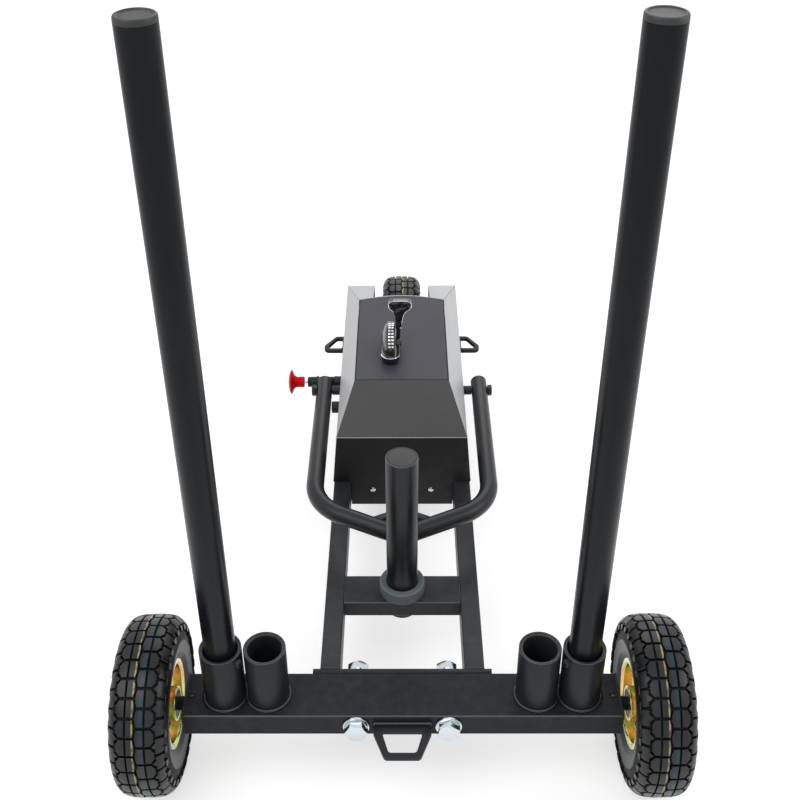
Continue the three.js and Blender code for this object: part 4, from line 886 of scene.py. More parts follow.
@dataclass(frozen=True)
class TyreRubber:
    """Tread rubber with moulding speckle and two painted lines along the tread."""

    name: str
    slot: str
    middle: float
    lines: tuple[tuple[float, float, Point, float], ...]
    colour: Point = (0.0062, 0.0072, 0.0086)

    def material(self, effects: Effects) -> Material:
        """Builds the finish's material.

        Args:
            effects: the shared groups.

        Returns:
            The material, whose lines stand at their places from the tyre's middle.
        """
        shading = Shading(self.name, effects)
        shader = shading.shader.inputs
        grain = shading.group(effects.grain)
        grain.inputs["Scale"].default_value = 700.0
        grain.inputs["Mottle Scale"].default_value = 26.0
        mottle = shading.span(grain.outputs["Mottle"], 0.3, 0.7, 0.0, 1.0)
        darker, lighter = (tuple(channel * share for channel in self.colour) for share in (0.75, 1.3))
        colour = shading.blend(mottle, darker, lighter)
        across = shading.placed(shading.node("ShaderNodeSeparateXYZ")).outputs["X"]
        patches = shading.placed(shading.node("ShaderNodeTexNoise", Scale=95.0, Detail=3.0))
        high = shading.span(self._from_axle(shading), 0.1235, 0.1250, 0.0, 1.0)
        broken = shading.span(patches.outputs["Fac"], 0.40, 0.52, 0.25, 1.0)
        for place, half, tint, strength in self.lines:
            away = shading.reckon("ABSOLUTE", shading.reckon("SUBTRACT", across, self.middle + place))
            mask = shading.span(away, half, half * 1.5, strength, 0.0)
            for other in (high, broken):
                mask = shading.reckon("MULTIPLY", mask, other)
            colour = shading.blend(mask, colour, tint)
        shading.link(colour, shader["Base Color"])
        shading.link(shading.span(grain.outputs["Mottle"], 0.3, 0.7, 0.28, 0.38), shader["Roughness"])
        shading.bump(grain.outputs["Height"], 0.3, 0.0002)
        shading.plain(Metallic=0.0, Specular_IOR_Level=0.4)
        return shading.material

    def _from_axle(self, shading: Shading) -> Socket:
        """Gives the distance of a point from the wheel's axle.

        Args:
            shading: the material under construction.

        Returns:
            The socket with the distance.
        """
        axle = REAR_AXLE if self.middle else FRONT_AXLE
        shape = shading.placed(shading.node("ShaderNodeMapping", Location=(0.0, -axle, -AXLE_HEIGHT),
                                            Scale=(0.0, 1.0, 1.0)))
        length = shading.node("ShaderNodeVectorMath", "LENGTH")
        shading.link(shape.outputs["Vector"], length.inputs[0])
        return length.outputs["Value"]


Finish = Coat | Plated | TyreRubber


FRAME_COAT = Coat("frame_powder_coat", "frame_coat", (0.012, 0.0145, 0.0185), 0.42, specular=0.25, dust=0.01)
BEAM_COAT = Coat("beam_powder_coat", "frame_coat", (0.0065, 0.008, 0.0115), 0.42, specular=0.12, dust=0.004)
POLE_COAT = Coat("pole_powder_coat", "frame_coat", (0.0055, 0.0068, 0.0092), 0.3, grain_strength=0.15,
                 specular=0.17, edge_amount=0.05, dust=0.003)
HANDLE_COAT = Coat("handle_powder_coat", "frame_coat", (0.009, 0.0105, 0.0135), 0.32, specular=0.3)
POST_COAT = Coat("post_powder_coat", "frame_coat", (0.006, 0.0072, 0.0092), 0.32, grain_strength=0.08,
                 specular=0.38, edge_amount=0.0, dust=0.004)
# Painted highlight: a lighter coat for rounded edges and rims, standing in for the light they catch.
EDGE_HIGHLIGHT_COAT = Coat("rubbed_edge_coat", "frame_coat", (0.065, 0.07, 0.08), 0.2, grain_strength=0.05,
                 edge_amount=0.0, dust=0.0)
WELD_COAT = Coat("weld_coat", "frame_coat", (0.008, 0.0085, 0.01), 0.2, edge_amount=0.0, specular=0.6,
                 dust=0.0)
TOP_COAT = Coat("top_cover_coat", "grain_cover", (0.039, 0.04, 0.052), 0.5, grain_scale=1300.0,
                grain_strength=0.4, specular=0.3)
SLOPE_COAT = Coat("rear_cover_coat", "grain_cover", (0.038, 0.04, 0.039), 0.52, grain_scale=1100.0,
                  grain_strength=0.5, mottle=0.1)
# Painted shade: the rear skirt is the same sheet as the slope, darkened for the shade on this upright face.
SKIRT_SHADE_COAT = Coat("rear_skirt_coat", "grain_cover", (0.006, 0.006, 0.0055), 0.55, grain_scale=1100.0,
                  grain_strength=0.5, specular=0.25)
# Painted shade: near black for the band that stands for the shade in the seams between covers.
SEAM_SHADE_COAT = Coat("cover_seam_coat", "grain_cover", (0.003, 0.003, 0.0035), 0.6, grain_strength=0.1,
                 edge_amount=0.0, dust=0.0, specular=0.12)
# Painted highlight: a pale coat for a thin tube along the rear cover's fold, standing in for the light on the bend.
BEND_HIGHLIGHT_COAT = Coat("cover_bend_coat", "grain_cover", (0.5, 0.51, 0.51), 0.3, grain_scale=1100.0,
                 grain_strength=0.3)
SILVER_COAT = Coat("silver_cover_coat", "silver_cover", (0.5, 0.51, 0.53), 0.45, mottle=0.03, dust=0.0,
                   edge_colour=(0.75, 0.76, 0.78), grain_strength=0.12)
COLLAR_RUBBER = Coat("collar_rubber_finish", "collar_rubber", (0.1, 0.12, 0.13), 0.62, specular=0.35,
                     dust=0.06, edge_amount=0.1)
COLLAR_EDGE = Coat("collar_edge_finish", "collar_rubber", (0.15, 0.175, 0.185), 0.5, dust=0.04,
                   edge_amount=0.1)
MATT_PLASTIC = Coat("matt_black_plastic", "black_plastic", (0.02, 0.021, 0.0225), 0.5, grain_scale=1500.0)
LINER_PLASTIC = Coat("socket_liner_plastic", "frame_coat", (0.02, 0.023, 0.025), 0.4, grain_scale=1500.0)
GLOSS_BLACK = Coat("gloss_black_plastic", "gloss_plastic", (0.006, 0.006, 0.007), 0.16, coat=0.6,
                   grain_strength=0.05, edge_amount=0.0, dust=0.0)
# Painted reflection: a grey gloss for the pod's dome, standing in for the broad highlight on black plastic.
DOME_HIGHLIGHT_GREY = Coat("gloss_grey_plastic", "gloss_plastic", (0.16, 0.165, 0.17), 0.2, coat=0.4,
                  grain_strength=0.05, edge_amount=0.0, dust=0.0)
GLOSS_RED = Coat("gloss_red_plastic", "red_plastic", (0.62, 0.002, 0.006), 0.24, mottle=0.06, specular=0.1,
                 edge_colour=(0.7, 0.05, 0.05), grain_strength=0.06, dust=0.0)
SEAL_RUBBER = Coat("bearing_seal_rubber", "steel", (0.01, 0.01, 0.011), 0.45)
BELT_RUBBER = Coat("belt_rubber_finish", "belt_rubber", (0.012, 0.012, 0.013), 0.6)
# Painted shade: near black for groove floors and block sides, where shade falls.
GROOVE_SHADE_RUBBER = Coat("tyre_groove_rubber", "tyre_rubber", (0.003, 0.0033, 0.004), 0.6, grain_scale=700.0,
                     edge_amount=0.0, dust=0.0, specular=0.2)
# Painted light: the sidewall is the tread's rubber, made lighter for the light that falls on it.
SIDE_LIGHT_RUBBER = Coat("tyre_side_rubber", "tyre_rubber", (0.045, 0.05, 0.058), 0.4, grain_scale=700.0,
                   edge_amount=0.1, dust=0.02, specular=0.35)
BRIGHT_ZINC = Plated("bright_zinc_plate", "bright_zinc", ((0.5, 0.56, 0.6), (0.68, 0.74, 0.78)), 0.14)
TOOTH_CHROME = Plated("lever_chrome", "gloss_plastic", ((0.8, 0.81, 0.83), (0.88, 0.89, 0.9)), 0.08)
GOLD_ZINC = Plated("yellow_zinc_plate", "gold_zinc",
                   ((0.66, 0.44, 0.08), (0.86, 0.70, 0.30), (0.52, 0.62, 0.22), (0.84, 0.55, 0.25),
                    (0.85, 0.52, 0.45)), 0.18, tint_scale=7.0)
GROUND_STEEL = Plated("ground_steel", "steel", ((0.5, 0.51, 0.53), (0.64, 0.65, 0.67)), 0.28)
TURNED_ALLOY = Plated("turned_alloy", "rotor_alloy", ((0.56, 0.57, 0.58), (0.68, 0.69, 0.7)), 0.3,
                      stretch=(0.1, 1.0, 1.0))


class Dresser:
    """Gives pieces their finish, body and node, and reports each one."""

    def __init__(self) -> None:
        """Starts with the shared effects and no material."""
        self.effects = Effects()
        self.made: dict[str, Material] = {}

    def material(self, finish: Finish) -> Material:
        """Gives a finish's material, built when first asked for."""
        if finish.name not in self.made:
            self.made[finish.name] = finish.material(self.effects)
        return self.made[finish.name]

    def paint(self, piece: Piece, finish: Finish, test: Test | None = None) -> None:
        """Gives a piece, or the faces of it that pass a test, a finish.

        Args:
            piece: the piece to paint.
            finish: its finish.
            test: which faces to paint, or None for the whole piece.
        """
        if test is None:
            piece.data.materials.clear()
            piece.data.materials.append(self.material(finish))
            for face in piece.data.polygons:
                face.material_index = 0
            return
        piece.data.materials.append(self.material(finish))
        index = len(piece.data.materials) - 1
        for face in piece.data.polygons:
            if test(face.center, face.normal):
                face.material_index = index

    def dress(
        self,
        piece: Piece,
        body: str,
        finish: Finish,
        stands_for: Sequence[str] = (),
        zones: Sequence[Coat] = (),
    ) -> Piece:
        """Paints a new piece and ties it to its body and nodes.

        Args:
            piece: the finished piece.
            body: the CAD body that it rides on.
            finish: its finish.
            stands_for: the CAD nodes that it replaces.
            zones: finishes of the faces that are already numbered from 1, or none.

        Returns:
            The piece.
        """
        settle(piece)
        if zones:
            for zone in (finish, *zones):
                piece.data.materials.append(self.material(zone))
        else:
            self.paint(piece, finish)
        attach(piece, body)
        if stands_for:
            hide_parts(*stands_for)
        log.info("%s: %d faces on %s", piece.name, len(piece.data.polygons), body)
        return piece


# ---------------------------------------------------------------- the sled's parts


@dataclass
class RearFrame:
    """Beam, rails, cross member, joint plate and their bolts."""

    dresser: Dresser
    corner: float = 0.0025
    wall: float = 0.0028
    bolt_across: float = 0.030
    bolt_head: float = 0.0125
    bolt_reach: float = 0.0664
    bolt_radius: float = 0.0098
    nut: float = 0.016
    washer: float = 0.038
    washer_edge: float = 0.0004
    washer_thick: float = 0.0028
    weld: float = 0.0024
    button_reach: float = 0.306
    beam_end: float = 0.3165
    stub_end: float = 0.3282
    spindle: float = 0.0074
    screw_reach: float = 0.0524
    screw_height: float = 0.131

    def build(self) -> None:
        """Builds every piece of the frame."""
        self._beam()
        for side in Side:
            self._rail(side)
            self._axle(side)
            self._joint_bolt(side)
        self._joint_plate()
        self._cross_member()
        self._cover_tube()

    def _beam(self) -> None:
        """The rear box beam with its two lock buttons."""
        low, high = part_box("rear_beam")
        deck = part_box("side_rail_left")[1].z
        tube = box_tube("beam", low, (high.x, high.y, deck), Axis.X, self.corner, self.wall)
        rows = [(0.0, 0.0), (0.0, 0.0055), (0.0014, 0.0055), (0.0028, 0.0036), (0.003, 0.0)]
        buttons = [
            turned("lock_button", rows, (side.value * self.button_reach, REAR_AXLE, deck), Axis.Z, 36, False)
            for side in Side
        ]
        piece = joined("rear_beam_tube", [tube, *buttons])
        self.dresser.dress(piece, "frame", BEAM_COAT, ["rear_beam"])
        self._rub(piece)

    def _rub(self, tube: Piece) -> None:
        """Paints a highlight on the rounded long edges of a tube that runs across."""
        self.dresser.paint(tube, EDGE_HIGHLIGHT_COAT, lambda middle, normal: min(abs(normal.y), abs(normal.z)) > 0.2)

    def _rail(self, side: Side) -> None:
        """One side rail, open at its ends as cut."""
        low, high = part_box(f"side_rail_{side.word}")
        piece = box_tube(f"rail_tube_{side.word}", low, high, Axis.Y, self.corner * 0.9, self.wall)
        self.dresser.dress(piece, "frame", FRAME_COAT, [f"side_rail_{side.word}"])

    def _axle(self, side: Side) -> None:
        """One rear end plate with its collar, spindle and nut."""
        low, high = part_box(f"rear_axle_{side.word}")
        out, end, stub = side.value, self.beam_end, self.stub_end
        ends = sorted_low(out * (end - 0.003), low.y, low.z, out * end, high.y, high.z)
        plate = block("end_plate", *ends, 0.0008)
        centre = (0.0, REAR_AXLE, AXLE_HEIGHT)
        rows = [(end - 0.001, 0.0), (end - 0.001, 0.011), (end + 0.0005, 0.0102), (stub, 0.0102), (stub, 0.0)]
        collar = turned("axle_collar", flipped(rows, out), centre, Axis.X, 48, False, 0.0005)
        far = max(abs(low.x), abs(high.x))
        rows = [(stub, 0.0), (stub, self.spindle), (far - 0.001, self.spindle), (far, 0.0062), (far, 0.0)]
        spindle = turned("axle_spindle", flipped(rows, out), centre, Axis.X, 48, False)
        nut = hexagon("axle_nut", (out * (far - 0.0045), REAR_AXLE, AXLE_HEIGHT), Axis.X, 0.024, 0.008, 0)
        weld = weld_ring("axle_weld", (out * (end + 0.0006), REAR_AXLE, AXLE_HEIGHT), 0.0112, 0.0016, Axis.X)
        body = joined(f"axle_stub_{side.word}", [plate, collar, weld])
        self.dresser.dress(body, "frame", FRAME_COAT, [f"rear_axle_{side.word}"])
        self.dresser.dress(joined(f"axle_nut_{side.word}", [spindle, nut]), "frame", BRIGHT_ZINC)

    def _joint_bolt(self, side: Side) -> None:
        """One joint bolt with washers and nut."""
        low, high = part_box(f"joint_bolt_{side.word}")
        x, z = side.value * self.bolt_reach, AXLE_HEIGHT
        head_face = low.y + self.bolt_head
        head = hexagon("bolt_head", (0.0, 0.0, 0.0), Axis.Y, self.bolt_across, self.bolt_head, -1)
        head.rotation_euler = (0.0, math.radians(30 if side is Side.LEFT else 6), 0.0)
        head.location = (x, low.y + self.bolt_head / 2, z)
        settle(head)
        rim, edge, thick = self.washer / 2, self.washer_edge, self.washer_thick
        rows = [(0.0, 0.0), (0.0, rim - edge), (edge, rim), (thick - edge, rim), (thick, rim - edge), (thick, 0.0)]
        near = turned("washer", rows, (x, head_face, z), Axis.Y, 48, False)
        nut_face = high.y - 0.0163
        nut = hexagon("bolt_nut", (x, nut_face + self.nut / 2, z), Axis.Y, self.bolt_across, self.nut, 0)
        far = turned("washer", rows, (x, nut_face - 0.003, z), Axis.Y, 48, False)
        rows = [(head_face, 0.0), (head_face, self.bolt_radius), (high.y - 0.0014, self.bolt_radius),
                (high.y, self.bolt_radius - 0.0014), (high.y, 0.0)]
        shank = turned("bolt_shank", rows, (x, 0.0, z), Axis.Y, 36, False)
        piece = joined(f"hex_bolt_{side.word}", [head, near, nut, far, shank])
        self.dresser.dress(piece, "frame", BRIGHT_ZINC, [f"joint_bolt_{side.word}"])

    def _joint_plate(self) -> None:
        """The plate between beam and rails, with its welds to the rails."""
        low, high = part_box("joint_plate")
        plate = block("joint_plate_steel", low, high, 0.0012)
        welds = []
        for side in Side:
            rail_low, rail_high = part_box(f"side_rail_{side.word}")
            y, z = high.y + 0.0004, rail_high.z - 0.0004
            welds.append(weld_line("rail_weld", (rail_low.x + 0.004, y, z), (rail_high.x - 0.004, y, z),
                                   self.weld * 0.8))
        self.dresser.dress(plate, "frame", FRAME_COAT, ["joint_plate"])
        self.dresser.dress(joined("rail_welds", welds), "frame", WELD_COAT)

    def _cross_member(self) -> None:
        """The cross member, welded between the rails."""
        low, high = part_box("cross_member")
        tube = box_tube("cross_member_tube", low, high, Axis.X, self.corner, self.wall)
        self.dresser.dress(tube, "frame", FRAME_COAT, ["cross_member"])
        self._rub(tube)
        z = high.z - 0.001
        welds = [weld_line("cross_weld", (x, low.y + 0.005, z), (x, high.y - 0.005, z), self.weld * 0.7)
                 for x in (low.x + 0.0006, high.x - 0.0006)]
        self.dresser.dress(joined("cross_member_welds", welds), "frame", WELD_COAT)

    def _cover_tube(self) -> None:
        """The cross tube under the rear cover, and the cover's two pan screws."""
        low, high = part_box("cover_cross_tube")
        rear = low.y + 0.0056
        tube = box_tube("cover_tube", (low.x, rear, low.z), high, Axis.X, self.corner, self.wall)
        self.dresser.dress(tube, "frame", FRAME_COAT, ["cover_cross_tube"])
        rows = [(0.0008, 0.0), (0.0008, 0.0019), (0.0, 0.0021), (0.0004, 0.0034), (0.0012, 0.0047),
                (0.0028, 0.0053), (0.0029, 0.0)]
        screws = [
            turned("pan_screw", rows, (side.value * self.screw_reach, low.y, self.screw_height), Axis.Y, 36, False)
            for side in Side
        ]
        self.dresser.dress(joined("cover_screws", screws), "frame", BRIGHT_ZINC)


def sorted_low(x0: float, y0: float, z0: float, x1: float, y1: float, z1: float) -> tuple[Point, Point]:
    """Puts two corners in order, lowest first."""
    return (min(x0, x1), min(y0, y1), min(z0, z1)), (max(x0, x1), max(y0, y1), max(z0, z1))


def flipped(rows: Sequence[Row], way: int) -> list[Row]:
    """Turns a profile's places around for the left side."""
    return [(along * way, radius) for along, radius in rows]


@dataclass
class PoleSockets:
    """The four lined sockets on the beam, and the two set screws."""

    dresser: Dresser
    radius: float = 0.03015
    wall: float = 0.0031
    liner: float = 0.0029
    weld: float = 0.0034
    outer_reach: float = 0.2565
    inner_reach: float = 0.194

    def build(self) -> None:
        """Builds each socket where its node stands."""
        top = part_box("inner_socket_left")[1].z
        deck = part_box("side_rail_left")[1].z
        for side in Side:
            for kind, reach in (("outer", self.outer_reach), ("inner", self.inner_reach)):
                self._socket(kind, side, side.value * reach, deck, top)
            self._set_screw(side, top)

    def _socket(self, kind: str, side: Side, x: float, deck: float, top: float) -> None:
        """One socket tube, its weld and its liner.

        Args:
            kind: outer or inner.
            side: the side of the sled.
            x: where its axis stands.
            deck: height of the beam's top.
            top: height of its rim.
        """
        centre = (x, REAR_AXLE, 0.0)
        inner, foot = self.radius - self.wall, deck + 0.0002
        rows = [(foot, inner), (foot, self.radius), (top, self.radius), (top, inner)]
        tube = turned(f"{kind}_socket_tube_{side.word}", rows, centre, Axis.Z, 96, True, 0.0009)
        self.dresser.dress(tube, "frame", FRAME_COAT, [f"{kind}_socket_{side.word}"])
        # Painted highlight along the rim's rounded top edge.
        self.dresser.paint(tube, EDGE_HIGHLIGHT_COAT, lambda middle, normal: middle.z > top - 0.001 and normal.z < 0.98)
        bead = weld_ring(f"{kind}_socket_weld_{side.word}", (x, REAR_AXLE, deck + 0.0009), self.radius + 0.0006,
                         self.weld)
        self.dresser.dress(bead, "frame", WELD_COAT)
        bore, skin = inner - self.liner, inner - 0.0001
        rows = [(deck + 0.0003, bore), (deck + 0.0003, skin), (top - 0.0012, skin), (top - 0.0012, bore + 0.001),
                (top - 0.0026, bore)]
        lining = turned(f"{kind}_socket_liner_{side.word}", rows, centre, Axis.Z, 96, True, 0.0004)
        self.dresser.dress(lining, "frame", LINER_PLASTIC)

    def _set_screw(self, side: Side, top: float) -> None:
        """The set screw that grips a pole, turned outward and back."""
        rows = [(0.0, 0.0), (0.0, 0.0055), (0.006, 0.0055), (0.0072, 0.0042), (0.0072, 0.0022), (0.0045, 0.0018),
                (0.0045, 0.0)]
        screw = turned(f"set_screw_{side.word}", rows, (0.0, 0.0, 0.0), Axis.X, 36, False)
        angle = math.radians(-145 if side is Side.RIGHT else -35)
        way = Vector((math.cos(angle), math.sin(angle), 0.0))
        screw.rotation_euler = (0.0, 0.0, angle)
        spot = Vector((side.value * self.outer_reach, REAR_AXLE, top - 0.011))
        screw.location = spot + way * (self.radius - 0.0004)
        settle(screw)
        self.dresser.dress(screw, "frame", FRAME_COAT)


@dataclass
class PushPoles:
    """The two upright poles with their plugged tops."""

    dresser: Dresser
    radius: float = 0.0225
    wall: float = 0.0025
    plug: float = 0.0196

    def build(self) -> None:
        """Builds both poles and caps."""
        rim, bore = self.radius, self.radius - self.wall
        for side in Side:
            low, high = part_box(f"push_pole_{side.word}")
            centre = ((low.x + high.x) / 2, REAR_AXLE, 0.0)
            rows = [(low.z, bore), (low.z, rim), (high.z, rim), (high.z, bore)]
            tube = turned(f"pole_tube_{side.word}", rows, centre, Axis.Z, 96, True, 0.0006)
            self.dresser.dress(tube, f"push_pole_{side.word}", POLE_COAT, [f"push_pole_{side.word}"])
            foot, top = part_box(f"pole_cap_{side.word}")
            seat = top.z - 0.007
            rows = [(foot.z, 0.0), (foot.z, self.plug - 0.0011), (foot.z + 0.003, self.plug), (seat, self.plug),
                    (seat, rim), (seat + 0.0008, rim), (top.z - 0.0022, rim - 0.0002),
                    (top.z - 0.0006, rim - 0.0011), (top.z, rim - 0.0026), (top.z - 0.0002, rim - 0.0038),
                    (top.z - 0.0015, rim - 0.0052), (top.z - 0.0016, 0.0)]
            cap = turned(f"pole_plug_{side.word}", rows, centre, Axis.Z, 96, False)
            self.dresser.dress(cap, f"push_pole_{side.word}", MATT_PLASTIC, [f"pole_cap_{side.word}"])


@dataclass
class PlatePost:
    """The capped post for weight plates, and its collar."""

    dresser: Dresser
    radius: float = 0.0245
    wall: float = 0.003
    weld: float = 0.0022
    collar: float = 0.036

    def build(self) -> None:
        """Builds the post, its welds and the collar."""
        low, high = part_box("plate_post")
        y, end, rim = (low.y + high.y) / 2, high.z, self.radius
        centre = (0.0, y, 0.0)
        rows = [(low.z, rim - self.wall), (low.z, rim), (end - 0.0014, rim), (end - 0.0005, rim - 0.0004),
                (end, rim - 0.0012), (end, rim - 0.0019), (end - 0.0009, rim - 0.0022), (end - 0.0009, rim - 0.0026),
                (end - 0.0001, rim - 0.003), (end, rim - 0.0045), (end, 0.0), (end - 0.004, 0.0),
                (end - 0.004, rim - self.wall)]
        post = turned("post_tube", rows, centre, Axis.Z, 96, True)
        self.dresser.dress(post, "frame", POST_COAT, ["plate_post"])
        # Painted highlight on the rounded rim of the post's top.
        self.dresser.paint(post, EDGE_HIGHLIGHT_COAT,
                           lambda middle, normal: middle.z > end - 0.0013 and 0.2 < normal.z < 0.97)
        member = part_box("cross_member")[0]
        bead = weld_ring("post_weld", (0.0, y, member.z - 0.0008), rim + 0.0006, self.weld)
        self.dresser.dress(bead, "frame", WELD_COAT)
        foot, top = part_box("post_collar")
        rows = [(foot.z, rim + 0.0004), (foot.z, self.collar), (top.z - 0.0035, self.collar),
                (top.z - 0.001, self.collar - 0.0011), (top.z, self.collar - 0.0035), (top.z, rim + 0.0012),
                (top.z - 0.001, rim + 0.0004)]
        collar = turned("rubber_collar", rows, centre, Axis.Z, 96, True, 0.0006)
        self.dresser.dress(collar, "frame", COLLAR_RUBBER, ["post_collar"])
        self.dresser.paint(collar, COLLAR_EDGE,
                           lambda middle, normal: middle.z > top.z - 0.002 and 0.3 < normal.z < 0.9)


@dataclass
class TowEyes:
    """Flat eyes cut from plate: behind the beam and on both rails."""

    dresser: Dresser
    bar: float = 0.009
    edge: float = 0.0013
    tip_half: float = 0.0255
    hole_half: float = 0.0295
    hole_tip: float = 0.0195
    side_tip: float = 0.020
    side_root: float = 0.005

    def build(self) -> None:
        """Builds the rear eye and the pair on the rails."""
        self._rear()
        self._sides()

    def _rear(self) -> None:
        """The eye behind the beam, with the weld bar at its root."""
        low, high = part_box("rear_tow_eye")
        half, tip, slant = (high.x - low.x) / 2 - 0.001, low.y - 0.0045, high.y - 0.015
        outer = rounded_outline(
            [(-half, high.y), (-half, slant), (-self.tip_half, tip), (self.tip_half, tip), (half, slant),
             (half, high.y)], [0.0, 0.008, 0.007, 0.007, 0.008, 0.0])
        near, far, end = high.y - 0.0127, tip + self.bar, self.hole_tip
        hole = rounded_outline([(-self.hole_half, near), (self.hole_half, near), (end, far), (-end, far)],
                               [0.003, 0.003, 0.005, 0.005])
        plate = flat_plate("rear_eye_plate", [outer, hole], low.z, high.z, self.edge)
        self.dresser.dress(plate, "frame", FRAME_COAT, ["rear_tow_eye"])
        root = high.y - 0.001
        welds = [weld_line("eye_weld", (-half + 0.002, root, z), (half - 0.002, root, z), 0.0036)
                 for z in (low.z - 0.0008, high.z + 0.002)]
        self.dresser.dress(joined("rear_eye_welds", welds), "frame", WELD_COAT)

    def _sides(self) -> None:
        """The eye on the right rail and its mirror image."""
        low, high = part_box("side_tow_eye_right")
        tip, bar, root = self.side_tip, self.bar, low.x + self.side_root
        outer = rounded_outline(
            [(low.x, low.y), (high.x, low.y), (high.x, low.y + tip), (low.x + tip, high.y), (low.x, high.y)],
            [0.0, 0.011, 0.009, 0.011, 0.0])
        hole = rounded_outline(
            [(root, low.y + bar), (high.x - bar, low.y + bar), (high.x - bar, low.y + tip - bar / 3),
             (low.x + tip - bar / 3, high.y - bar), (root, high.y - bar)], [0.004, 0.005, 0.004, 0.005, 0.004])
        plate = flat_plate("side_eye_plate_right", [outer, hole], low.z, high.z, self.edge)
        x, z = low.x + 0.0008, high.z + 0.0004
        twin = mirrored(plate)
        twin.name = "side_eye_plate_left"
        self.dresser.dress(plate, "frame", FRAME_COAT, ["side_tow_eye_right"])
        self.dresser.dress(twin, "frame", FRAME_COAT, ["side_tow_eye_left"])
        bead = weld_line("side_eye_weld_right", (x, low.y + 0.003, z), (x, high.y - 0.003, z), 0.002)
        other = mirrored(bead)
        other.name = "side_eye_weld_left"
        self.dresser.dress(bead, "frame", WELD_COAT)
        self.dresser.dress(other, "frame", WELD_COAT)


@dataclass
class Crown:
    """The tyre's outer cross-section, measured along its arc from the middle."""

    half_width: float = 0.041
    crown_radius: float = 0.128
    side_radius: float = 0.0905
    power: float = 3.4
    steps: int = 400
    places: list[tuple[float, float, float]] = field(default_factory=list)

    def __post_init__(self) -> None:
        """Measures the arc at small steps."""
        rise = self.crown_radius - self.side_radius
        arc = 0.0
        last = (0.0, self.crown_radius)
        for step in range(self.steps + 1):
            angle = math.pi / 2 * step / self.steps
            x = self.half_width * math.sin(angle) ** (2 / self.power)
            r = self.side_radius + rise * math.cos(angle) ** (2 / self.power)
            arc += math.hypot(x - last[0], r - last[1])
            self.places.append((arc, x, r))
            last = (x, r)

    def at(self, arc: float) -> tuple[float, float, float, float]:
        """Gives the point and outward normal at a distance from the middle.

        Args:
            arc: distance along the arc, negative on the left.

        Returns:
            Place across, radius, and the normal's two parts.
        """
        way = -1.0 if arc < 0 else 1.0
        target = abs(arc)
        index = max(1, next((i for i, spot in enumerate(self.places) if spot[0] >= target), self.steps))
        low, high = self.places[index - 1], self.places[index]
        share = 0.0 if high[0] == low[0] else min(1.0, (target - low[0]) / (high[0] - low[0]))
        x = low[1] + (high[1] - low[1]) * share
        r = low[2] + (high[2] - low[2]) * share
        before, after = self.places[max(index - 4, 0)], self.places[min(index + 4, self.steps)]
        run = (after[1] - before[1], after[2] - before[2])
        size = math.hypot(*run) or 1.0
        return x * way, r, -run[1] / size * way, run[0] / size


